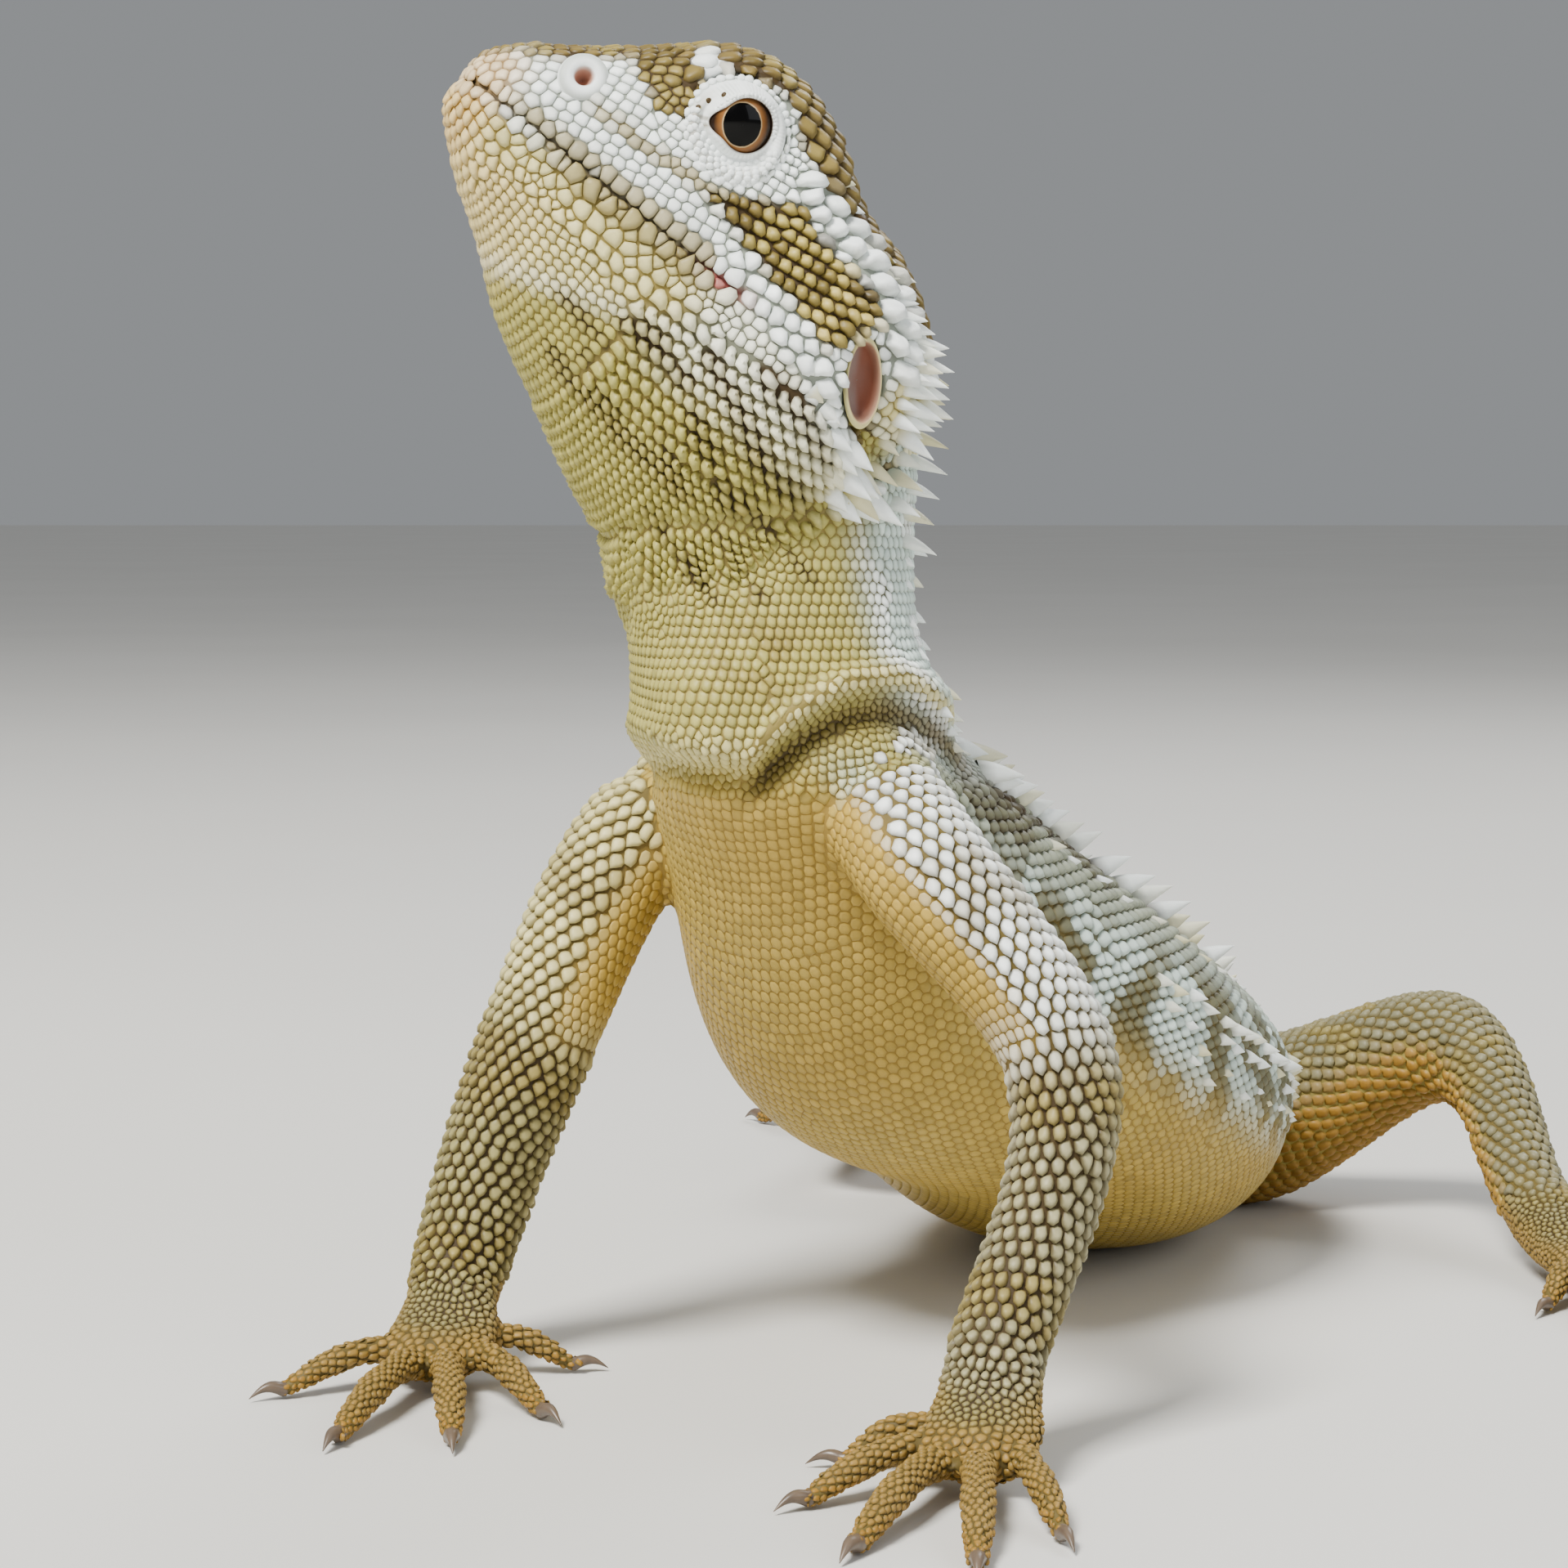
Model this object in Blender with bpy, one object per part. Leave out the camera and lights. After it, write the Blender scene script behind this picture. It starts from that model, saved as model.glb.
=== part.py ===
"""A life-size, still model of a young bearded dragon, propped on its forelegs with its head raised.

All sizes and places below are in millimetres. The frame while building has +X to the
viewer's right, +Y away from the viewer and +Z up, with the floor at z = 0. At the end
the whole model is moved so that its origin is the middle of its footprint.
"""

import math
import random

import bmesh
import bpy
import numpy as np
from mathutils import Matrix, Vector

MM = 0.001
GAP = 0.3
WELD = 0.002
SEED = 11

# Body: one rail of cross sections from the skull to the tip of the tail.
# Each station: centre, way to the head, way to the back, half width, height above, height below.
BODY_STATIONS = {
    "skull": ((4.0, 3.0, 90.0), (-0.3, -0.1, 1.0), (1.0, 0.3, 0.3), 6.0, 4.0, 6.0),
    "nape": ((0.8, 2.7, 80.5), (-0.1, 0.0, 1.0), (1.0, 0.3, 0.0), 11.0, 10.2, 11.0),
    "throat": ((-2.3, 2.7, 72.5), (0.0, 0.0, 1.0), (1.0, 0.3, 0.0), 11.8, 13.3, 13.6),
    "neck": ((-1.0, 2.0, 65.0), (0.0, 0.0, 1.0), (1.0, 0.3, 0.0), 11.4, 12.3, 12.4),
    "collar": ((0.3, 2.3, 58.5), (-0.05, -0.1, 1.0), (1.0, 0.35, 0.0), 13.0, 13.0, 13.0),
    "shoulders": ((3.0, 7.5, 50.0), (-0.3, -0.35, 0.88), (0.8, 0.5, 0.5), 14.0, 13.0, 13.5),
    "chest": ((8.5, 18.5, 38.5), (-0.55, -0.6, 0.57), (0.4, 0.4, 0.8), 18.0, 15.0, 19.0),
    "belly": ((21.5, 37.5, 25.5), (-0.47, -0.76, 0.44), (0.2, 0.3, 0.9), 22.5, 14.0, 17.2),
    "loin": ((30.5, 60.0, 15.0), (-0.2, -0.94, 0.28), (0.0, 0.2, 1.0), 21.0, 12.8, 15.6),
    "pelvis": ((34.0, 84.0, 10.5), (0.0, -0.99, 0.1), (0.0, 0.1, 1.0), 14.0, 10.0, 11.0),
    "tail_root": ((34.5, 104.0, 8.0), (0.0, -0.99, 0.1), (0.0, 0.1, 1.0), 8.2, 7.2, 8.3),
    "tail_thick": ((33.5, 128.0, 5.9), (0.1, -0.99, 0.06), (0.0, 0.0, 1.0), 5.9, 5.4, 6.5),
    "tail_middle": ((28.5, 165.0, 4.4), (0.1, -0.99, 0.04), (0.0, 0.0, 1.0), 4.3, 4.0, 5.1),
    "tail_slim": ((25.0, 205.0, 3.2), (-0.05, -0.99, 0.03), (0.0, 0.0, 1.0), 3.1, 2.9, 3.8),
    "tail_thin": ((30.0, 250.0, 2.1), (-0.25, -0.97, 0.02), (0.0, 0.0, 1.0), 1.9, 1.8, 2.6),
    "tail_tip": ((44.0, 291.0, 1.0), (-0.38, -0.92, 0.02), (0.0, 0.0, 1.0), 0.6, 0.6, 1.25),
}
BODY_POWER = 2.25
BODY_SIDES = 26
TAIL_SIDES = 16
# Where the body is parted, as a share of the way between two named stations.
BODY_CUTS = {
    "neck": (("throat", 0.0), ("collar", 0.55)),
    "chest": (("collar", 0.55), ("chest", 0.55)),
    "trunk": (("chest", 0.55), ("loin", 0.5)),
    "pelvis": (("loin", 0.5), ("tail_root", 0.1)),
    "tail_1": (("tail_root", 0.1), ("tail_thick", 0.95)),
    "tail_2": (("tail_thick", 0.95), ("tail_middle", 0.95)),
    "tail_3": (("tail_middle", 0.95), ("tail_slim", 0.95)),
    "tail_4": (("tail_slim", 0.95), ("tail_tip", 0.0)),
}
BODY_RINGS = {"neck": 7, "chest": 10, "trunk": 11, "pelvis": 10, "tail_1": 8, "tail_2": 9, "tail_3": 9, "tail_4": 12}

# Head: its own frame, with the origin on the midline between the corners of the mouth.
HEAD_ORIGIN = (-5.4, -0.1, 92.5)
HEAD_FORWARD = (-0.745, -0.256, 0.617)
HEAD_UP = (0.622, 0.068, 0.780)
# Distance along the head from the corner of the mouth: half width, height above and depth below the mouth line.
HEAD_STATIONS = (
    (-17.0, 11.0, 6.2, 21.0),
    (-13.5, 13.2, 9.3, 23.5),
    (-9.0, 14.3, 11.8, 23.3),
    (-4.0, 13.6, 13.0, 21.4),
    (1.0, 12.0, 16.2, 19.2),
    (5.5, 10.9, 17.6, 17.0),
    (9.5, 10.2, 17.4, 15.2),
    (13.5, 9.3, 15.2, 13.0),
    (18.0, 8.1, 11.2, 9.6),
    (22.0, 6.8, 8.0, 7.0),
    (25.3, 4.9, 5.3, 4.4),
    (27.2, 2.6, 3.0, 2.6),
)
HEAD_POWER_TOP = 2.7
HEAD_POWER_UNDER = 2.1
SNOUT_TIP = 28.0
HEAD_RINGS = 22
HEAD_ANGLES = (0, 16, 32, 46, 58, 68, 77, 84, 90, 96, 103, 112, 124, 138, 152, 166)
MOUTH_CORNER = 0.6
LIP_RISE = 0.55
LIP_WIDTH = 1.7

EYE_FORWARD = 9.2
EYE_UP = 10.7
EYE_OUT = 7.3
EYE_RADIUS = 3.3
LID_RADIUS = 3.9
LID_THICKNESS = 0.85
NOSTRIL = (21.6, 6.4)
NOSTRIL_RING = 1.5
NOSTRIL_HOLE = 0.75
EAR = (-10.6, 0.8)
EAR_SIZE = (1.5, 3.3, 2.0)
EAR_LEAN = math.radians(38.5)

# Limbs: joints, half thickness across and along the limb, from the body outwards.
LIMBS = {
    "left_arm": {
        "joints": ((5.5, 0.0, 54.0), (10.5, -9.5, 47.0), (22.3, -13.6, 29.8), (16.3, -21.5, 8.0), (15.0, -25.5, 4.6)),
        "thick": (5.2, 5.6, 4.6, 3.9, 3.9),
        "nodes": ("left_upper_arm", "left_forearm"),
    },
    "right_arm": {
        "joints": ((-3.0, 14.0, 54.0), (-11.8, 16.0, 47.0), (-21.4, 12.5, 28.9), (-28.9, 9.9, 6.6), (-29.3, 6.0, 4.2)),
        "thick": (5.2, 5.6, 5.2, 4.1, 3.9),
        "nodes": ("right_upper_arm", "right_forearm"),
    },
    "left_leg": {
        "joints": ((36.0, 86.0, 9.0), (49.5, 79.5, 8.8), (69.5, 71.3, 18.2), (74.7, 46.5, 5.2), (76.0, 41.0, 3.8)),
        "thick": (7.8, 8.6, 5.7, 3.6, 3.7),
        "nodes": ("left_thigh", "left_shin"),
    },
    "right_leg": {
        "joints": ((33.0, 86.0, 10.0), (21.0, 84.0, 10.6), (6.5, 85.0, 11.0), (9.5, 108.5, 5.0), (9.2, 113.0, 3.8)),
        "thick": (7.0, 7.0, 5.4, 3.6, 3.7),
        "nodes": ("right_thigh", "right_shin"),
    },
}
LIMB_SIDES = 14
LIMB_RINGS = 9

# Hands and feet: wrist or ankle end, end of the palm, half width and height of the palm,
# and for each digit its root, heading, length and thickness.
FEET = {
    "left_hand": {
        "palm": ((16.3, -21.5, 8.0), (14.6, -29.0, 2.7)),
        "size": (3.7, 4.9, 2.2),
        "digits": (
            ((11.6, -22.0, 3.6), (-1.0, 0.12), 7.0, 1.25),
            ((11.4, -25.5, 3.0), (-0.85, -0.55), 11.5, 1.35),
            ((12.0, -28.5, 2.8), (-0.42, -0.9), 16.0, 1.45),
            ((14.8, -29.5, 2.8), (-0.06, -1.0), 17.0, 1.45),
            ((17.8, -27.5, 3.0), (0.2, -1.0), 13.0, 1.3),
        ),
    },
    "right_hand": {
        "palm": ((-28.9, 9.9, 6.6), (-29.8, 1.5, 2.7)),
        "size": (3.8, 4.9, 2.2),
        "digits": (
            ((-26.2, 7.0, 3.4), (1.0, 0.15), 8.0, 1.25),
            ((-26.4, 3.0, 3.0), (0.55, -0.85), 12.0, 1.35),
            ((-28.6, 1.0, 2.8), (0.12, -1.0), 16.0, 1.45),
            ((-31.4, 1.0, 2.8), (-0.28, -0.96), 16.0, 1.45),
            ((-33.0, 4.5, 3.0), (-0.88, -0.45), 10.5, 1.3),
        ),
    },
    "left_foot": {
        "palm": ((74.7, 46.5, 5.2), (78.5, 33.0, 2.6)),
        "size": (3.6, 4.6, 2.3),
        "digits": (
            ((75.5, 36.5, 2.9), (-0.55, -0.85), 8.0, 1.3),
            ((76.5, 33.5, 2.8), (-0.2, -1.0), 13.0, 1.4),
            ((78.5, 32.5, 2.8), (0.12, -1.0), 19.0, 1.5),
            ((80.6, 33.5, 2.8), (0.42, -0.9), 23.0, 1.5),
            ((81.5, 38.0, 2.9), (0.9, -0.4), 14.0, 1.4),
        ),
    },
    "right_foot": {
        "palm": ((9.5, 108.5, 5.0), (8.4, 121.5, 2.6)),
        "size": (3.6, 4.6, 2.3),
        "digits": (
            ((11.4, 118.5, 2.9), (0.55, 0.85), 8.0, 1.3),
            ((10.4, 121.0, 2.8), (0.28, 1.0), 13.0, 1.4),
            ((8.4, 122.0, 2.8), (0.04, 1.0), 18.0, 1.5),
            ((6.6, 121.0, 2.8), (-0.2, 0.98), 21.0, 1.5),
            ((5.5, 116.5, 2.9), (-0.7, 0.75), 12.0, 1.4),
        ),
    },
}
PALM_SIDES = 14
PALM_RINGS = 6
DIGIT_SIDES = 6
# Along a digit: share of its length, thickness as a share of its own, and the claw past 1.
DIGIT_PROFILE = ((-0.18, 0.8), (0.1, 1.05), (0.4, 0.95), (0.55, 1.08), (0.8, 0.92), (1.0, 0.72))
DIGIT_ARCH = 1.3
DIGIT_LOW = 0.6
CLAW_LENGTH = 3.0
CLAW_PROFILE = ((0.08, 0.5), (0.6, 0.34), (1.0, 0.1))
CLAW_TIP_HEIGHT = 0.35

# Spines: a cone of few sides whose root is sunk in the skin.
SPINE_SIDES = 5
SPINE_ROOT = 1.2
SPINE_VARIATION = 0.16
SPINE_JITTER = 0.25
# Rows on each side of the head: how many, the first and last place as distance along the head and angle
# from the crown, the first and last length, root radius, and lean towards the back.
HEAD_SPINE_ROWS = (
    (4, (-13.0, 58.0), (-15.2, 92.0), 3.2, 3.9, 0.9, 1.0),
    (4, (-8.5, 40.0), (-13.0, 60.0), 2.0, 2.8, 0.85, 1.1),
    (2, (0.5, 40.0), (-4.5, 42.0), 1.4, 1.9, 0.9, 1.3),
    (4, (-10.5, 103.0), (-14.2, 112.0), 2.2, 3.3, 0.95, 1.5),
    (4, (-5.0, 116.0), (-13.0, 124.0), 1.6, 2.7, 0.95, 1.6),
    (3, (-4.0, 133.0), (-11.5, 138.0), 1.5, 2.2, 0.9, 1.6),
)
# Rows on each side of the body: first and last place, spacing, angle from the middle of the back,
# length, root radius and lean towards the tail.
BODY_SPINE_ROWS = (
    (("skull", 0.75), ("nape", 0.9), 2.2, 40.0, 4.2, 0.95, 0.3),
    (("skull", 0.85), ("nape", 0.8), 3.0, 62.0, 3.4, 0.95, 0.35),
    (("throat", 0.3), ("collar", 0.3), 6.0, 18.0, 1.6, 0.8, 0.35),
    (("shoulders", 0.3), ("pelvis", 0.5), 7.0, 12.0, 3.4, 1.0, 0.45),
    (("shoulders", 0.5), ("loin", 0.6), 4.4, 36.0, 4.0, 1.0, 0.4),
    (("chest", 0.75), ("loin", 0.35), 6.2, 82.0, 2.9, 0.9, 0.9),
    (("tail_root", 0.2), ("tail_thick", 0.9), 12.0, 28.0, 1.5, 0.75, 1.2),
    (("tail_root", 0.3), ("tail_thick", 0.5), 11.0, 76.0, 1.7, 0.75, 1.3),
)
SPINE_CLEAR = 2.0

SKIN = {"pale": (0.78, 0.76, 0.66), "tan": (0.55, 0.43, 0.24), "olive": (0.33, 0.27, 0.14), "eye": (0.01, 0.008, 0.006)}
ROUGHNESS = {"pale": 0.55, "tan": 0.55, "olive": 0.5, "eye": 0.08}


def unit(vector):
    """The vector at length 1, or each row of an array of them."""
    array = np.asarray(vector, float)
    return array / np.linalg.norm(array, axis=-1, keepdims=True)


def smooth(knots, values, at):
    """Values read at the places given from a smooth curve through the knots, with slopes from both neighbours."""
    knots, values, at = np.asarray(knots, float), np.asarray(values, float), np.atleast_1d(np.asarray(at, float))
    slopes = np.gradient(values, knots, axis=0)
    index = np.clip(np.searchsorted(knots, at, side="right") - 1, 0, len(knots) - 2)
    step = knots[index + 1] - knots[index]
    t = ((at - knots[index]) / step)[:, None]
    step = step[:, None]
    return (
        values[index] * (2 * t**3 - 3 * t**2 + 1)
        + values[index + 1] * (3 * t**2 - 2 * t**3)
        + slopes[index] * step * (t**3 - 2 * t**2 + t)
        + slopes[index + 1] * step * (t**3 - t**2)
    )


def oval(angle, across, above, below, power_above, power_below):
    """A point of a rounded section: 0 is its top, a quarter turn is the left side."""
    sine, cosine = np.sin(angle), np.cos(angle)
    power = np.where(cosine > 0, power_above, power_below)
    out = across * np.sign(sine) * np.abs(sine) ** (2 / power)
    up = np.where(cosine > 0, above, below) * np.sign(cosine) * np.abs(cosine) ** (2 / power)
    return out, up


class Rail:
    """Cross sections along a bent line, read anywhere between its stations."""

    def __init__(self, centres, forwards, ups, sizes, power):
        self.centres = np.asarray(centres, float)
        steps = np.linalg.norm(np.diff(self.centres, axis=0), axis=1)
        self.knots = np.concatenate([[0.0], np.cumsum(steps)])
        self.forwards, self.ups = unit(forwards), unit(ups)
        self.sizes, self.power = np.asarray(sizes, float), power

    def frame(self, at):
        """Centre, forward, up and left at each place."""
        centre = smooth(self.knots, self.centres, at)
        forward = unit(smooth(self.knots, self.forwards, at))
        up = smooth(self.knots, self.ups, at)
        up = unit(up - forward * np.sum(up * forward, axis=1, keepdims=True))
        return centre, forward, up, np.cross(up, forward)

    def surface(self, at, angle, grow=0.0):
        """Points of the surface at each place and angle."""
        at, angle = np.broadcast_arrays(np.atleast_1d(at), np.atleast_1d(angle))
        centre, _, up, left = self.frame(at)
        across, above, below = (smooth(self.knots, self.sizes, at) + grow).T
        out, high = oval(angle, across, above, below, self.power, self.power)
        return centre + left * out[:, None] + up * high[:, None]


def body_rail():
    """The rail of the body, from skull to tail tip."""
    stations = list(BODY_STATIONS.values())
    return Rail(
        [s[0] for s in stations],
        [s[1] for s in stations],
        [s[2] for s in stations],
        [s[3:6] for s in stations],
        BODY_POWER,
    )


def body_place(rail, cut):
    """The distance along the body of a named cut."""
    name, share = cut
    index = list(BODY_STATIONS).index(name)
    last = min(index + 1, len(rail.knots) - 1)
    return rail.knots[index] * (1 - share) + rail.knots[last] * share


def limb_rail(limb):
    """The rail of a limb, with its sections square to a smooth line through its joints."""
    joints = np.array(limb["joints"], float)
    knots = np.concatenate([[0.0], np.cumsum(np.linalg.norm(np.diff(joints, axis=0), axis=1))])
    forwards = -unit(np.gradient(joints, knots, axis=0))
    ups = np.tile([0.0, -0.35, 1.0], (len(joints), 1)) + forwards[:, [2, 2, 2]] * [-0.9, 0.3, 0.0]
    thick = np.array(limb["thick"], float)
    return Rail(joints, forwards, ups, np.stack([thick, thick, thick], 1), 2.1)


def new_object(name, points, faces, colour="pale"):
    """A closed mesh object from points in millimetres, with its faces turned outwards."""
    mesh = bpy.data.meshes.new(name)
    mesh.from_pydata([tuple(float(c) * MM for c in p) for p in points], [], faces)
    thing = bpy.data.objects.new(name, mesh)
    bpy.context.scene.collection.objects.link(thing)
    edit = bmesh.new()
    edit.from_mesh(mesh)
    bmesh.ops.recalc_face_normals(edit, faces=edit.faces)
    if edit.calc_volume(signed=True) < 0:
        bmesh.ops.reverse_faces(edit, faces=edit.faces)
    bmesh.ops.triangulate(edit, faces=edit.faces)
    edit.to_mesh(mesh)
    edit.free()
    mesh.materials.append(material(colour))
    return thing


def material(colour):
    """The Principled material of a named skin colour, made once."""
    found = bpy.data.materials.get(colour)
    if found:
        return found
    made = bpy.data.materials.new(colour)
    made.use_nodes = True
    shader = made.node_tree.nodes["Principled BSDF"]
    shader.inputs["Base Color"].default_value = (*SKIN[colour], 1.0)
    shader.inputs["Roughness"].default_value = ROUGHNESS[colour]
    shader.inputs["Metallic"].default_value = 0.0
    return made


def skin_rings(name, rings, colour="pale", first_tip=None, last_tip=None):
    """A closed mesh over rings of points, with a fan of faces at each end."""
    rings = [np.asarray(ring, float) for ring in rings]
    count = len(rings[0])
    points = list(np.concatenate(rings))
    faces = []
    for row in range(len(rings) - 1):
        low, high = row * count, (row + 1) * count
        for i in range(count):
            j = (i + 1) % count
            faces.append((low + i, low + j, high + j, high + i))
    for start, tip in ((0, first_tip), ((len(rings) - 1) * count, last_tip)):
        centre = len(points)
        points.append(np.mean(points[start : start + count], axis=0) if tip is None else np.asarray(tip, float))
        faces.extend((start + i, start + (i + 1) % count, centre) for i in range(count))
    return new_object(name, points, faces, colour)


def rail_piece(name, rail, start, stop, rings, sides, grow=0.0, colour="pale", floor=True):
    """The length of a rail between two places, as a closed mesh that keeps above the floor."""
    angles = np.arange(sides) * 2 * math.pi / sides
    made = []
    for at in np.linspace(start, stop, rings):
        ring = rail.surface(np.full(sides, at), angles, grow)
        if floor:
            ring[:, 2] = np.maximum(ring[:, 2], 0.0)
        made.append(ring)
    return skin_rings(name, made, colour)


def bake(thing):
    """Applies the object's modifiers to its mesh."""
    evaluated = thing.evaluated_get(bpy.context.evaluated_depsgraph_get())
    mesh = bpy.data.meshes.new_from_object(evaluated)
    thing.modifiers.clear()
    thing.data = mesh


def discard(things):
    """Removes helper objects from the file."""
    for thing in list(things):
        bpy.data.objects.remove(thing, do_unlink=True)


def boolean(thing, tools, operation, solver="EXACT"):
    """One Boolean of the object with all the closed tools, applied, with the tools then removed."""
    group = bpy.data.collections.new("tools")
    bpy.context.scene.collection.children.link(group)
    for tool in tools:
        group.objects.link(tool)
    modifier = thing.modifiers.new(operation.lower(), "BOOLEAN")
    modifier.operation = operation
    modifier.operand_type = "COLLECTION"
    modifier.collection = group
    modifier.solver = solver
    bake(thing)
    discard(tools)
    bpy.data.collections.remove(group)
    keep_largest(thing)
    return thing


def keep_largest(thing):
    """Keeps the largest closed surface of a mesh, which drops loose scraps and fills sealed hollows."""
    edit = bmesh.new()
    edit.from_mesh(thing.data)
    bmesh.ops.triangulate(edit, faces=edit.faces)
    bmesh.ops.dissolve_degenerate(edit, edges=edit.edges, dist=WELD * MM)
    left, shells = set(edit.verts), []
    while left:
        stack, shell = [left.pop()], []
        while stack:
            vertex = stack.pop()
            shell.append(vertex)
            for edge in vertex.link_edges:
                other = edge.other_vert(vertex)
                if other in left:
                    left.remove(other)
                    stack.append(other)
        shells.append(shell)
    shells.sort(key=len)
    for shell in shells[:-1]:
        bmesh.ops.delete(edit, geom=shell, context="VERTS")
    edit.to_mesh(thing.data)
    edit.free()


def block(name, low, high, matrix):
    """A closed box between two corners in the frame of a matrix, whose lengths are in millimetres."""
    corners = [(x, y, z) for x in (low[0], high[0]) for y in (low[1], high[1]) for z in (low[2], high[2])]
    faces = ((0, 1, 3, 2), (4, 6, 7, 5), (0, 4, 5, 1), (2, 3, 7, 6), (0, 2, 6, 4), (1, 5, 7, 3))
    return new_object(name, [matrix @ Vector(c) for c in corners], faces)


def ball(name, centre, radii, matrix, rows=8, sides=14, colour="pale"):
    """A closed ellipsoid in the frame of a matrix."""
    rings = []
    for row in range(1, rows):
        turn = math.pi * row / rows
        ring = []
        for side in range(sides):
            angle = 2 * math.pi * side / sides
            local = Vector((
                centre[0] + radii[0] * math.sin(turn) * math.cos(angle),
                centre[1] + radii[1] * math.sin(turn) * math.sin(angle),
                centre[2] + radii[2] * math.cos(turn),
            ))
            ring.append(matrix @ local)
        rings.append(ring)
    tips = [matrix @ Vector((centre[0], centre[1], centre[2] + end * radii[2])) for end in (1, -1)]
    return skin_rings(name, rings, colour, tips[0], tips[1])


def ring_solid(name, centre, normal, along, radii, thick, sides=18, tube=6):
    """A closed torus round a centre: radii along and across, and half thickness of the ring."""
    normal, along = unit(normal), unit(along)
    across = np.cross(normal, along)
    points, faces = [], []
    for i in range(sides):
        turn = 2 * math.pi * i / sides
        way = along * math.cos(turn) * radii[0] + across * math.sin(turn) * radii[1]
        out = unit(way)
        for j in range(tube):
            roll = 2 * math.pi * j / tube
            points.append(np.asarray(centre) + way + out * math.cos(roll) * thick + normal * math.sin(roll) * thick)
    for i in range(sides):
        for j in range(tube):
            a, b = i * tube, ((i + 1) % sides) * tube
            k = (j + 1) % tube
            faces.append((a + j, a + k, b + k, b + j))
    return new_object(name, points, faces)


def head_matrix():
    """The head's frame as a matrix: x forward, y to the animal's left, z up from the mouth line."""
    forward = Vector(HEAD_FORWARD).normalized()
    up = Vector(HEAD_UP)
    up = (up - forward * up.dot(forward)).normalized()
    left = up.cross(forward)
    matrix = Matrix((forward, left, up)).transposed().to_4x4()
    matrix.translation = Vector(HEAD_ORIGIN)
    return matrix


def head_sizes(forward):
    """Half width, height above and depth below the mouth line, at distances along the head."""
    table = np.array(HEAD_STATIONS, float)
    return smooth(table[:, 0], table[:, 1:], forward)


def head_local(forward, angle):
    """Points of the head's surface in its own frame, with brow, cheek and lips raised."""
    forward, angle = np.broadcast_arrays(np.atleast_1d(forward), np.atleast_1d(angle))
    across, above, below = head_sizes(forward).T
    out, up = oval(angle, across, above, below, HEAD_POWER_TOP, HEAD_POWER_UNDER)
    side = np.sign(out) * np.clip(np.abs(out), 0, 1)
    brow = 1.1 * np.exp(-(((forward - 8.5) / 5.5) ** 2) - ((up - 14.6) / 2.2) ** 2)
    cheek = 0.8 * np.exp(-(((forward + 5.0) / 5.0) ** 2) - ((up - 2.0) / 5.0) ** 2)
    lips = LIP_RISE * np.exp(-((up / LIP_WIDTH) ** 2)) / (1 + np.exp(-(forward - 1.5)))
    out = out + side * (brow + cheek + lips)
    return np.stack([forward, out, up], 1)


def head_angles():
    """Angles round a section of the head, closer together along the lips."""
    half = np.radians(HEAD_ANGLES)
    return np.concatenate([half, [math.pi], 2 * math.pi - half[:0:-1]])


def to_world(matrix, points):
    """Points of a local frame in the model's frame."""
    turn = np.array(matrix.to_3x3())
    return points @ turn.T + np.array(matrix.translation)


def spine(root, normal, way, length, radius):
    """A tapering spine whose root is sunk below the skin and whose tip leans along the way given."""
    normal, way = unit(normal), unit(way)
    aside = unit(np.cross(normal, way))
    ahead = np.cross(aside, normal)
    angles = np.arange(SPINE_SIDES) * 2 * math.pi / SPINE_SIDES
    loop = np.outer(np.cos(angles), ahead) + np.outer(np.sin(angles), aside)
    loop = root - normal * SPINE_ROOT + loop * radius * (1 + SPINE_ROOT / length)
    return skin_rings("spine", [loop], "pale", None, root + unit(normal + way) * length)


def head_spines(matrix, draw):
    """The spines of both sides of the head: fringe, temple, corner of the jaw and beard."""
    made = []
    for count, first, last, short, long, radius, lean in HEAD_SPINE_ROWS:
        for i in range(count):
            share = i / (count - 1)
            forward, angle = (first[k] + (last[k] - first[k]) * share for k in (0, 1))
            for side in (1, -1):
                size = 1 + draw.uniform(-SPINE_VARIATION, SPINE_VARIATION)
                turn = math.radians(side * (angle + draw.uniform(-1.5, 1.5)))
                place = to_world(matrix, head_local(np.array([forward, forward - 0.5, forward]), [turn, turn, turn + 0.05]))
                back, round_way = place[1] - place[0], place[2] - place[0]
                normal = unit(np.cross(round_way, back))
                made.append(spine(place[0], normal, unit(back) * lean, (short + (long - short) * share) * size, radius))
    return made


def body_spines(rail, start, stop, draw):
    """The spines of one length of the body, whose tips stay clear of its ends."""
    made = []
    for first, last, spacing, angle, length, radius, lean in BODY_SPINE_ROWS:
        low, high = body_place(rail, first), body_place(rail, last)
        for i in range(int((high - low) / spacing) + 1):
            for side in (1, -1):
                at = low + i * spacing + draw.uniform(-SPINE_JITTER, SPINE_JITTER)
                size = 1 + draw.uniform(-SPINE_VARIATION, SPINE_VARIATION)
                if not start + SPINE_CLEAR < at < stop - SPINE_CLEAR - length / 2:
                    continue
                turn = math.radians(side * angle)
                place = rail.surface([at, at + 0.5, at], [turn, turn, turn + 0.05])
                back, round_way = place[1] - place[0], place[2] - place[0]
                normal = unit(np.cross(round_way, back))
                made.append(spine(place[0], normal, unit(back) * lean, length * size, radius))
    return made


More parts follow.
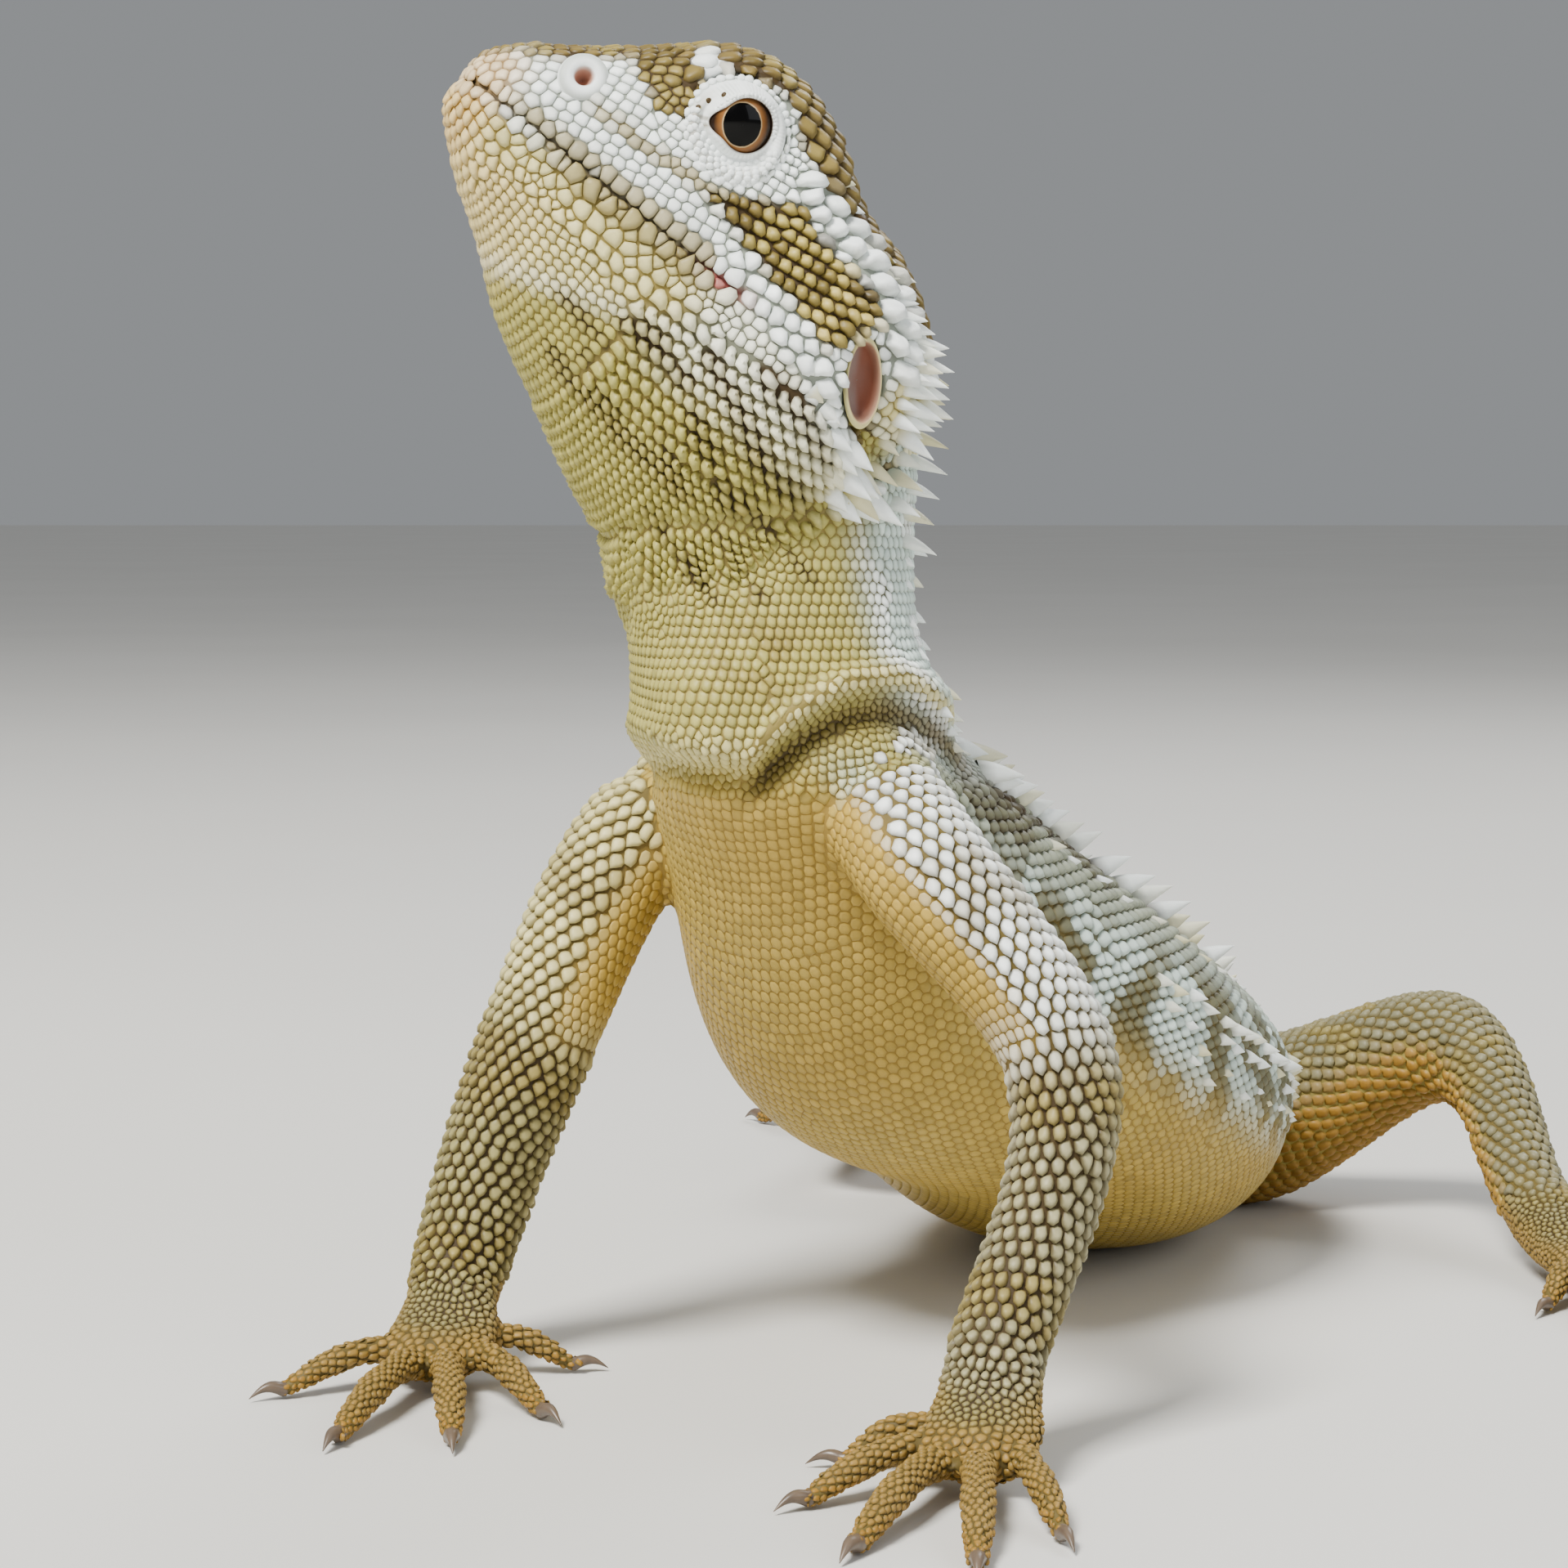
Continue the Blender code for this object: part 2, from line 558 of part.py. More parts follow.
def head_mass(rail):
    """The whole head with the top of the neck, before eyes, mouth and ears are cut."""
    matrix = head_matrix()
    angles = head_angles()
    table = np.array(HEAD_STATIONS)
    places = np.linspace(table[0, 0], table[-1, 0], HEAD_RINGS)
    rings = [to_world(matrix, head_local(np.full(len(angles), f), angles)) for f in places]
    back = to_world(matrix, np.array([[table[0, 0] - 1.5, 0.0, -6.0]]))[0]
    tip = to_world(matrix, np.array([[SNOUT_TIP, 0.0, 0.2]]))[0]
    head = skin_rings("head", rings, "pale", back, tip)
    start = body_place(rail, ("skull", 0.0))
    stop = body_place(rail, BODY_CUTS["neck"][0]) + 0.5
    core = rail_piece("core", rail, start, stop, 7, BODY_SIDES)
    spines = head_spines(matrix, random.Random(SEED)) + body_spines(rail, start, stop - 0.5, random.Random(SEED))
    boolean(head, [core, *spines], "UNION")
    centre, forward, up, left = (Vector(v[0]) for v in rail.frame(np.array([stop - 0.5 - GAP / 2])))
    plane = Matrix((left, up, forward)).transposed().to_4x4()
    plane.translation = centre
    below = block("below", (-40, -40, -40), (40, 40, 0), plane)
    return boolean(head, [below], "DIFFERENCE"), matrix


def eye_centre(side):
    """The middle of the eyeball in the head's frame, side 1 for the left eye."""
    return (EYE_FORWARD, side * EYE_OUT, EYE_UP)


def side_point(forward, up, side):
    """The point of the head's side surface at a distance forward and up, in the head's frame."""
    angles = np.linspace(0.05, math.pi - 0.05, 400)
    local = head_local(np.full(len(angles), forward), angles)
    found = local[np.argmin(np.abs(local[:, 2] - up))]
    return np.array([found[0], side * found[1], found[2]])


def head_nodes(rail):
    """Head, lower jaw and both eyes."""
    head, matrix = head_mass(rail)
    jaw = head.copy()
    jaw.data = head.data.copy()
    jaw.name = "lower_jaw"
    bpy.context.scene.collection.objects.link(jaw)
    half = GAP / 2
    far = 40.0
    boolean(jaw, [block("jaw", (MOUTH_CORNER + half, -far, -far), (far, far, -half), matrix)], "INTERSECT")
    boolean(head, [block("mouth", (MOUTH_CORNER - half, -far, -far), (far, far, half), matrix)], "DIFFERENCE")
    eyes, rings, hollows = [], [], []
    for name, side in (("eye_left", 1), ("eye_right", -1)):
        centre = eye_centre(side)
        eyes.append(ball(name, centre, (EYE_RADIUS,) * 3, matrix, 8, 14, "eye"))
        out = np.array(matrix.to_3x3() @ Vector((0.1, side, 0.12)))
        along = np.array(matrix.to_3x3() @ Vector((1, 0, 0)))
        lid = np.array(centre) + np.array([0.1, side * 1.9, 0.2])
        rings.append(ring_solid("lid", to_world(matrix, lid[None])[0], out, along, (LID_RADIUS, LID_RADIUS * 0.92), LID_THICKNESS, 16, 5))
        hollows.append(ball("socket", centre, (EYE_RADIUS + GAP * 1.5,) * 3, matrix, 8, 14))
        nose = side_point(*NOSTRIL, side)
        rings.append(ring_solid("nostril", to_world(matrix, nose[None])[0], out, along, (NOSTRIL_RING,) * 2, 0.55, 10, 5))
        hollows.append(ball("nostril", nose, (NOSTRIL_HOLE, 1.6, NOSTRIL_HOLE), matrix, 6, 8))
        ear = side_point(*EAR, side)
        turn = matrix @ Matrix.Translation(Vector(ear)) @ Matrix.Rotation(EAR_LEAN, 4, "Y")
        hollows.append(ball("ear", (0, 0, 0), (EAR_SIZE[0], EAR_SIZE[2], EAR_SIZE[1]), turn, 7, 12))
    boolean(head, rings, "UNION")
    boolean(head, hollows, "DIFFERENCE")
    return [head, jaw, *eyes]


def body_nodes(rail):
    """Neck, chest, trunk, pelvis and the lengths of tail, parted by thin gaps."""
    made = []
    for name, (first, last) in BODY_CUTS.items():
        sides = TAIL_SIDES if name.startswith("tail") else BODY_SIDES
        start = body_place(rail, first) + GAP / 2
        stop = body_place(rail, last) - GAP / 2
        piece = rail_piece(name, rail, start, stop, BODY_RINGS[name], sides)
        spines = body_spines(rail, start, stop, random.Random(SEED))
        made.append(boolean(piece, spines, "UNION") if spines else piece)
    return made


def body_cutter(rail):
    """A slightly larger copy of the body from neck to tail root, which clears the limbs."""
    start = body_place(rail, ("throat", 0.5))
    stop = body_place(rail, ("tail_root", 0.5))
    return rail_piece("cutter", rail, start, stop, 40, BODY_SIDES, GAP * 1.2, floor=False)


def limb_nodes(rail):
    """Upper and lower length of each limb, cut clear of the body."""
    made = []
    for limb in LIMBS.values():
        line = limb_rail(limb)
        parts = ((line.knots[0], line.knots[2] - GAP / 2), (line.knots[2] + GAP / 2, line.knots[3] - GAP / 2))
        for name, (start, stop) in zip(limb["nodes"], parts):
            piece = rail_piece(name, line, start, stop, LIMB_RINGS, LIMB_SIDES)
            made.append(boolean(piece, [body_cutter(rail)], "DIFFERENCE"))
    return made


def digit(name, root, heading, length, thick):
    """One digit with its claw: an arched, tapering tube that ends in a curved point."""
    root = np.array(root, float)
    ahead = unit([heading[0], heading[1], 0.0])
    aside = np.array([-ahead[1], ahead[0], 0.0])
    rings = []
    low = thick * DIGIT_LOW
    for share, wide in DIGIT_PROFILE:
        clamp = min(max(share, 0.0), 1.0)
        high = root[2] * (1 - clamp) + low * clamp + DIGIT_ARCH * math.sin(math.pi * clamp) * (1 - 0.4 * clamp)
        rings.append((root * [1, 1, 0] + ahead * share * length + [0, 0, high], wide * thick))
    for share, wide in CLAW_PROFILE:
        drop = low + (CLAW_TIP_HEIGHT - low) * share**1.6 + 0.5 * math.sin(math.pi * share)
        rings.append((root * [1, 1, 0] + ahead * (length + share * CLAW_LENGTH) + [0, 0, drop], wide * thick))
    angles = np.arange(DIGIT_SIDES) * 2 * math.pi / DIGIT_SIDES
    loops = []
    for centre, radius in rings:
        loops.append(centre + np.outer(np.cos(angles), aside) * radius + np.outer(np.sin(angles), [0, 0, 1]) * radius)
    return skin_rings(name, loops)


def foot_node(name, foot, limb):
    """A hand or foot: the palm with its five clawed digits, flat where it meets the floor."""
    line = limb_rail(limb)
    wrist, toes = (np.array(p, float) for p in foot["palm"])
    across, wide, low = foot["size"]
    start = line.knots[3] + GAP / 2
    centre, forward, up, left = (v[0] for v in line.frame(np.array([start])))
    angles = np.arange(PALM_SIDES) * 2 * math.pi / PALM_SIDES
    ahead = unit((toes - wrist) * [1, 1, 0])
    aside = np.array([-ahead[1], ahead[0], 0.0])
    if np.dot(aside, left) < 0:
        aside = -aside
    rings = [line.surface(np.full(PALM_SIDES, start), angles)]
    for share in np.linspace(0, 1, PALM_RINGS)[1:]:
        blend = min(1.0, share * 1.6)
        middle = centre * (1 - share) + toes * share - [0, 0, 0.6 * math.sin(math.pi * share)]
        half = across * (1 - blend) + wide * blend * (1 - 0.25 * max(0, share - 0.7) / 0.3)
        high = line.sizes[3, 1] * (1 - blend) + low * blend
        out, rise = oval(angles, half, high, high, 2.1, 2.1)
        lift = unit(up * (1 - blend) + np.array([0, 0, 1.0]) * blend)
        side = unit(left * (1 - blend) + aside * blend)
        rings.append(middle + np.outer(out, side) + np.outer(rise, lift))
    palm = skin_rings(name, rings, "tan")
    digits = [digit("digit", *values) for values in foot["digits"]]
    boolean(palm, digits, "UNION")
    slab = block("floor", (-400, -400, -20), (400, 400, 0), Matrix.Identity(4))
    return boolean(palm, [slab], "DIFFERENCE")


def foot_nodes():
    """Both hands and both feet."""
    limbs = dict(zip(FEET, ("left_arm", "right_arm", "left_leg", "right_leg")))
    return [foot_node(name, foot, LIMBS[limbs[name]]) for name, foot in FEET.items()]


def centre_on_floor(things):
    """Parents the model to one empty and moves it so that its origin is the middle of its footprint."""
    root = bpy.data.objects.new("bearded_dragon", None)
    bpy.context.scene.collection.objects.link(root)
    corners = np.array([vertex.co for thing in things for vertex in thing.data.vertices])
    middle = (corners.min(axis=0) + corners.max(axis=0)) / 2
    for thing in things:
        thing.parent = root
    root.location = (-middle[0], -middle[1], -corners[:, 2].min())


def main():
    """Builds every node of the animal."""
    discard(bpy.data.objects)
    rail = body_rail()
    things = body_nodes(rail) + limb_nodes(rail) + foot_nodes() + head_nodes(rail)
    for thing in things:
        thing.data.shade_smooth()
        thing.data.set_sharp_from_angle(angle=math.radians(50))
    centre_on_floor(things)


if __name__ == "__main__":
    main()
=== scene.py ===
"""Dresses the young bearded dragon: one skin, scales, spines, eyes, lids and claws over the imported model.

Lengths are in millimetres in the maker's own frame: +X to the viewer's right, +Y away from the viewer,
+Z up, floor at z = 0. Place turns them into metres in the model's frame. The head has a frame of its own:
forward along the mouth line, left, and up, with its origin between the corners of the mouth.
"""

import logging
import math
from dataclasses import dataclass, field
from enum import Enum
from functools import partial
from typing import Any, Callable

import bpy
import numpy as np
from mathutils import Matrix, Vector
from mathutils.bvhtree import BVHTree
from mathutils.kdtree import KDTree


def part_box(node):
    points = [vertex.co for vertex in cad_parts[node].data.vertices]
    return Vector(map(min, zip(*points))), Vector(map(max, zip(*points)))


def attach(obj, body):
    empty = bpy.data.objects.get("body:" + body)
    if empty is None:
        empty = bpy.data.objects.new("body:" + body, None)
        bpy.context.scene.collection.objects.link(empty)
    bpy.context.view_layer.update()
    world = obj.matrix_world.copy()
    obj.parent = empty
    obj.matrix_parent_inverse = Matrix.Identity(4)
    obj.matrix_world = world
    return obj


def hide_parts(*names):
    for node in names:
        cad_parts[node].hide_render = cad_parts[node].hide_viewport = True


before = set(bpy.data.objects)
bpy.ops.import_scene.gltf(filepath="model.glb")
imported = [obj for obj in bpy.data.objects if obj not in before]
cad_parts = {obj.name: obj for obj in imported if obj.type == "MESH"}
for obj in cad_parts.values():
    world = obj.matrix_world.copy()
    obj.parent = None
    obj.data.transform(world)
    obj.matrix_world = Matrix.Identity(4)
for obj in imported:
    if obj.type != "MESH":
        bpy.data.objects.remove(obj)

Array = np.ndarray
Colour = tuple[float, float, float]
Pair = tuple[float, float]

MM = 0.001
ROW_GAP = 0.866  # half the root of 3
BAKE_HALF = 0.0015
FLOOR_GAP = 0.02
NECK_LOW, NECK_BACK = 52, 28
SEED = 7
BODY = "root"
EYE_NODES = ("eye_left", "eye_right")
log = logging.getLogger("bearded_dragon")


class Slot(Enum):
    """The record's material slots."""

    SKIN = "skin"
    EYE = "eye"


class Region(Enum):
    """Lengths of the animal that have a rail of their own, in the order of their charts."""

    BODY = 0
    HEAD = 1
    LEFT_ARM = 2
    RIGHT_ARM = 3
    LEFT_LEG = 4
    RIGHT_LEG = 5


@dataclass(frozen=True)
class Palette:
    """Colours of the animal and of shade painted on it, as linear red, green and blue."""

    white: Colour = (0.89, 0.935, 0.92)
    ice: Colour = (0.60, 0.71, 0.66)
    cream: Colour = (0.64, 0.575, 0.27)
    throat: Colour = (0.38, 0.345, 0.095)
    peach: Colour = (0.66, 0.46, 0.20)
    belly: Colour = (0.41, 0.275, 0.05)
    khaki: Colour = (0.29, 0.225, 0.06)
    gold: Colour = (0.43, 0.345, 0.09)
    olive: Colour = (0.145, 0.105, 0.026)
    tan: Colour = (0.185, 0.13, 0.034)
    brown: Colour = (0.050, 0.030, 0.009)
    crease: Colour = (0.28, 0.31, 0.26)
    amber: Colour = (0.30, 0.155, 0.022)
    grey: Colour = (0.31, 0.335, 0.25)
    slate: Colour = (0.14, 0.14, 0.085)
    pink: Colour = (0.40, 0.09, 0.08)
    membrane: Colour = (0.26, 0.19, 0.17)
    claw: Colour = (0.06, 0.045, 0.035)
    horn: Colour = (0.16, 0.11, 0.07)
    belly_edge: Colour = (0.34, 0.22, 0.04)
    thigh: Colour = (0.215, 0.205, 0.125)
    forearm: Colour = (0.28, 0.245, 0.092)
    hand: Colour = (0.255, 0.22, 0.085)
    temple: Colour = (0.55, 0.43, 0.13)
    cheek: Colour = (0.82, 0.81, 0.64)
    pupil: Colour = (0.001, 0.001, 0.001)
    pupil_ring: Colour = (0.50, 0.36, 0.19)
    iris: Colour = (0.24, 0.10, 0.028)
    iris_edge: Colour = (0.10, 0.042, 0.013)
    eye_rim: Colour = (0.018, 0.010, 0.006)
    lid_bag_and_shade: Colour = (0.40, 0.37, 0.31)
    lid_edge: Colour = (0.10, 0.055, 0.03)
    nose_deep: Colour = (0.16, 0.06, 0.04)
    nose_wall: Colour = (0.42, 0.20, 0.13)
    ear_wall: Colour = (0.34, 0.20, 0.13)
    ear_deep: Colour = (0.22, 0.075, 0.045)


HUES = Palette()


def unit(vector: Any) -> Array:
    """The vector at length 1, or each row of an array of them."""
    array = np.asarray(vector, float)
    return array / np.maximum(np.linalg.norm(array, axis=-1, keepdims=True), 1e-9)


def turns(count: int) -> Array:
    """Even turns round a circle, from 0."""
    return np.arange(count) * 2 * math.pi / count


def paired(first: Any, second: Any) -> list[Array]:
    """Two numbers or arrays as arrays of one shape."""
    return np.broadcast_arrays(np.atleast_1d(first).astype(float), np.atleast_1d(second).astype(float))


def step(low: float, high: float, value: Array) -> Array:
    """Smooth step: 0 below low, 1 above high, and 3t^2 - 2t^3 between them."""
    t = np.clip((value - low) / (high - low), 0.0, 1.0)
    return t * t * (3 - 2 * t)


def hump(value: Array, centre: float, width: float) -> Array:
    """A bell of height 1: e to the power of minus the square of the distance over the width."""
    return np.exp(-(((value - centre) / width) ** 2))


def ripple(points: Array, size: float, seed: int) -> Array:
    """Soft patches between -1 and 1: the mean of seven sine waves in seeded directions.

    Args:
        points: Places in millimetres, one a row.
        size: Rough width of a patch in millimetres.
        seed: Which set of directions to use.

    Returns:
        One value for each point.
    """
    draw = np.random.default_rng(seed)
    ways = unit(draw.normal(size=(7, 3))) * (math.pi / size) * draw.uniform(0.7, 1.5, (7, 1))
    return np.sin(points @ ways.T + draw.uniform(0, 6.28, 7)).sum(axis=1) / 3.2


def capsule(f: Array, u: Array, first: Pair, last: Pair) -> tuple[Array, Array]:
    """Distance from a straight line on the side of the head, and the share of the way along it.

    Args:
        f: Distance forward of each point.
        u: Height of each point.
        first: Forward and height of the line's start.
        last: Forward and height of its end.

    Returns:
        The distance from the line, and the share along it between 0 and 1.
    """
    a, b = np.asarray(first, float), np.asarray(last, float)
    way = b - a
    along = np.clip(((f - a[0]) * way[0] + (u - a[1]) * way[1]) / (way @ way), 0, 1)
    return np.hypot(f - a[0] - along * way[0], u - a[1] - along * way[1]), along


def patch(f: Array, u: Array, corners: tuple) -> Array:
    """Distance from the edge of a patch on the side of the head, below 0 inside it.

    A point is inside where a line forward from it crosses the edge an odd number of times.

    Args:
        f: Distance forward of each point.
        u: Height of each point.
        corners: Forward and height of the patch's corners, in order.

    Returns:
        The signed distances.
    """
    near = np.full(len(f), 99.0)
    inside = np.zeros(len(f), bool)
    for a, b in zip(corners, (*corners[1:], corners[0])):
        gap, _ = capsule(f, u, a, b)
        near = np.minimum(near, gap)
        rise = b[1] - a[1] if b[1] != a[1] else 1e-9
        inside ^= ((a[1] > u) != (b[1] > u)) & (f < (b[0] - a[0]) * (u - a[1]) / rise + a[0])
    return np.where(inside, -near, near)


def trail(f: Array, u: Array, spots: tuple) -> Array:
    """Distance from a bent line through spots on the side of the head."""
    gaps = [capsule(f, u, a, b)[0] for a, b in zip(spots, spots[1:])]
    return np.min(gaps, axis=0)


def smooth(knots: Any, values: Any, at: Any) -> Array:
    """Values read from a smooth curve through the knots.

    Each stretch is a cubic that meets both knots with the slope of their neighbours.

    Args:
        knots: Rising places of the known values.
        values: A row of known values for each knot.
        at: Places to read.

    Returns:
        One row for each place.
    """
    knots, values = np.asarray(knots, float), np.asarray(values, float)
    at = np.atleast_1d(np.asarray(at, float))
    slopes = np.gradient(values, knots, axis=0)
    index = np.clip(np.searchsorted(knots, at, side="right") - 1, 0, len(knots) - 2)
    width = knots[index + 1] - knots[index]
    t = ((at - knots[index]) / width)[:, None]
    width = width[:, None]
    return (
        values[index] * (2 * t**3 - 3 * t**2 + 1)
        + values[index + 1] * (3 * t**2 - 2 * t**3)
        + slopes[index] * width * (t**3 - 2 * t**2 + t)
        + slopes[index + 1] * width * (t**3 - t**2)
    )


def oval(angle: Array, across: Array, above: Array, below: Array, power: Pair) -> tuple[Array, Array]:
    """A rounded section: 0 is its top and a quarter turn its left side.

    Each way is the size times the sine or cosine to the power of 2 over the section's power.

    Args:
        angle: Turn from the top.
        across: Half width.
        above: Height above the centre.
        below: Depth below it.
        power: How square the upper and the lower half are.

    Returns:
        The distance to the left and the height.
    """
    sine, cosine = np.sin(angle), np.cos(angle)
    square = np.where(cosine > 0, power[0], power[1])
    out = across * np.sign(sine) * np.abs(sine) ** (2 / square)
    up = np.where(cosine > 0, above, below) * np.sign(cosine) * np.abs(cosine) ** (2 / square)
    return out, up


def oval_reach(out: Array, high: Array, across: Array, tall: Array, power: Any) -> Array:
    """How far points are from the centre of a rounded section, as a share of its size."""
    return (np.abs(out / across) ** power + np.abs(high / tall) ** power) ** (1 / power)


def lengths_along(line: Array) -> Array:
    """Distance along a line of points at each of them, from 0."""
    return np.concatenate([[0.0], np.cumsum(np.linalg.norm(np.diff(line, axis=0), axis=1))])


class Rail:
    """Cross sections along a bent line, read anywhere between its stations."""

    def __init__(self, centres: Any, forwards: Any, ups: Any, sizes: Any, power: float) -> None:
        """Keeps the stations and measures the line through them."""
        self.centres = np.asarray(centres, float)
        self.knots = lengths_along(self.centres)
        self.forwards, self.ups = unit(forwards), unit(ups)
        self.sizes, self.power = np.asarray(sizes, float), power

    def axes(self, at: Any) -> tuple[Array, Array, Array, Array]:
        """Centre, forward, up and left at each place."""
        centre = smooth(self.knots, self.centres, at)
        forward = unit(smooth(self.knots, self.forwards, at))
        up = smooth(self.knots, self.ups, at)
        up = unit(up - forward * np.sum(up * forward, axis=1, keepdims=True))
        return centre, forward, up, np.cross(up, forward)

    def surface(self, at: Any, angle: Any, grow: float = 0.0) -> Array:
        """Points of the surface at each place and angle, moved outwards by grow."""
        at, angle = paired(at, angle)
        centre, _, up, left = self.axes(at)
        across, above, below = (smooth(self.knots, self.sizes, at) + grow).T
        out, high = oval(angle, across, above, below, (self.power, self.power))
        return centre + left * out[:, None] + up * high[:, None]

    def grid(self, start: float, stop: float, rows: int, columns: int, grow: float) -> Array:
        """Rings of points from start to stop, as rows by columns by 3."""
        places = np.repeat(np.linspace(start, stop, rows), columns)
        return self.surface(places, np.tile(turns(columns), rows), grow).reshape(rows, columns, 3)

    def locate(self, points: Array, samples: int = 220) -> tuple[Array, Array, Array]:
        """Where points are along the rail.

        The nearest of many samples of the centre line is found, and then corrected by the distance to
        its section.

        Args:
            points: Places in millimetres.
            samples: How many samples of the line to compare.

        Returns:
            Distance along the rail, turn from the top, and reach as a share of the section's size.
        """
        at = np.linspace(self.knots[0], self.knots[-1], samples)
        centre, forward, _, _ = self.axes(at)
        gap = (centre**2).sum(1)[None] - 2 * points @ centre.T
        index = np.argmin(gap, axis=1)
        shift = np.sum((points - centre[index]) * forward[index], axis=1)
        place = np.clip(at[index] - shift, self.knots[0], self.knots[-1])
        centre, forward, up, left = self.axes(place)
        away = points - centre
        out, high = np.sum(away * left, axis=1), np.sum(away * up, axis=1)
        across, above, below = np.maximum(smooth(self.knots, self.sizes, place), 0.4).T
        tall = np.where(high > 0, above, below)
        reach = oval_reach(out, high, across, tall, self.power)
        past = np.abs(np.sum(away * forward, axis=1)) / across
        return place, np.arctan2(out, high), np.hypot(reach, past)


@dataclass
class Frame:
    """The rails of body and limbs and the shape of the head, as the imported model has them."""

    body_names: tuple[str, ...] = (
        "skull", "nape", "throat", "neck", "collar", "shoulders", "chest", "belly", "loin", "pelvis",
        "tail_root", "tail_thick", "tail_middle", "tail_slim", "tail_thin", "tail_tip",
    )
    body_stations: tuple = (
        ((4.0, 3.0, 90.0), (-0.3, -0.1, 1.0), (1.0, 0.3, 0.3), 6.0, 4.0, 6.0),
        ((0.8, 2.7, 80.5), (-0.1, 0.0, 1.0), (1.0, 0.3, 0.0), 11.0, 10.2, 11.0),
        ((-2.3, 2.7, 72.5), (0.0, 0.0, 1.0), (1.0, 0.3, 0.0), 11.8, 13.3, 13.6),
        ((-1.0, 2.0, 65.0), (0.0, 0.0, 1.0), (1.0, 0.3, 0.0), 11.4, 12.3, 12.4),
        ((0.3, 2.3, 58.5), (-0.05, -0.1, 1.0), (1.0, 0.35, 0.0), 13.0, 13.0, 13.0),
        ((3.0, 7.5, 50.0), (-0.3, -0.35, 0.88), (0.8, 0.5, 0.5), 14.0, 13.0, 13.5),
        ((8.5, 18.5, 38.5), (-0.55, -0.6, 0.57), (0.4, 0.4, 0.8), 18.0, 15.0, 19.0),
        ((21.5, 37.5, 25.5), (-0.47, -0.76, 0.44), (0.2, 0.3, 0.9), 22.5, 14.0, 17.2),
        ((30.5, 60.0, 15.0), (-0.2, -0.94, 0.28), (0.0, 0.2, 1.0), 21.0, 12.8, 15.6),
        ((34.0, 84.0, 10.5), (0.0, -0.99, 0.1), (0.0, 0.1, 1.0), 14.0, 10.0, 11.0),
        ((34.5, 104.0, 8.0), (0.0, -0.99, 0.1), (0.0, 0.1, 1.0), 8.2, 7.2, 8.3),
        ((33.5, 128.0, 5.9), (0.1, -0.99, 0.06), (0.0, 0.0, 1.0), 5.9, 5.4, 6.5),
        ((28.5, 165.0, 4.4), (0.1, -0.99, 0.04), (0.0, 0.0, 1.0), 4.3, 4.0, 5.1),
        ((25.0, 205.0, 3.2), (-0.05, -0.99, 0.03), (0.0, 0.0, 1.0), 3.1, 2.9, 3.8),
        ((30.0, 250.0, 2.1), (-0.25, -0.97, 0.02), (0.0, 0.0, 1.0), 1.9, 1.8, 2.6),
        ((44.0, 291.0, 1.0), (-0.38, -0.92, 0.02), (0.0, 0.0, 1.0), 0.6, 0.6, 1.25),
    )
    limb_joints: dict = field(default_factory=lambda: {
        Region.LEFT_ARM: (
            ((5.5, 0, 54), (10.5, -9.5, 47), (22.3, -13.6, 29.8), (16.3, -21.5, 8), (15, -25.5, 4.6)),
            (5.2, 5.6, 4.6, 3.9, 3.9),
        ),
        Region.RIGHT_ARM: (
            ((-3, 14, 54), (-11.8, 16, 47), (-21.4, 12.5, 28.9), (-28.9, 9.9, 6.6), (-29.3, 6, 4.2)),
            (5.2, 5.6, 5.2, 4.1, 3.9),
        ),
        Region.LEFT_LEG: (
            ((36, 86, 9), (49.5, 79.5, 8.8), (69.5, 71.3, 18.2), (74.7, 46.5, 5.2), (76, 41, 3.8)),
            (7.8, 8.6, 5.7, 3.6, 3.7),
        ),
        Region.RIGHT_LEG: (
            ((33, 86, 10), (21, 84, 10.6), (6.5, 85, 11), (9.5, 108.5, 5), (9.2, 113, 3.8)),
            (7.0, 7.0, 5.4, 3.6, 3.7),
        ),
    })
    head_origin: tuple = (-5.4, -0.1, 92.5)
    head_forward: tuple = (-0.745, -0.256, 0.617)
    head_up: tuple = (0.622, 0.068, 0.780)
    head_stations: tuple = (
        (-17.0, 11.0, 6.2, 21.0), (-13.5, 13.2, 9.3, 23.5), (-9.0, 14.3, 11.8, 23.3),
        (-4.0, 13.6, 13.0, 21.4), (1.0, 12.0, 16.2, 19.2), (5.5, 10.9, 17.6, 17.0),
        (9.5, 10.2, 17.4, 15.2), (13.5, 9.3, 15.2, 13.0), (18.0, 8.1, 11.2, 9.6),
        (22.0, 6.8, 8.0, 7.0), (25.3, 4.9, 5.3, 4.4), (27.2, 2.6, 3.0, 2.6),
    )
    head_power: Pair = (2.7, 2.1)
    body_power: float = 2.25
    limb_power: float = 2.1
    snout_tip: float = 28.0
    eye: tuple = (9.2, 7.3, 10.7)
    eye_radius: float = 3.3
    nostril: tuple = (20.7, 5.7)
    ear: tuple = (-10.6, 0.8)
    ear_lean: float = math.radians(38.5)

    def __post_init__(self) -> None:
        """Builds the rails and the head's axes."""
        centres, forwards, ups, *sizes = zip(*self.body_stations)
        self.body = Rail(centres, forwards, ups, np.stack(sizes, 1), self.body_power)
        self.limbs = {region: self.limb_rail(*sizes) for region, sizes in self.limb_joints.items()}
        forward = unit(self.head_forward)
        up = np.array(self.head_up)
        up = unit(up - forward * (up @ forward))
        self.head_axes = np.stack([forward, np.cross(up, forward), up])

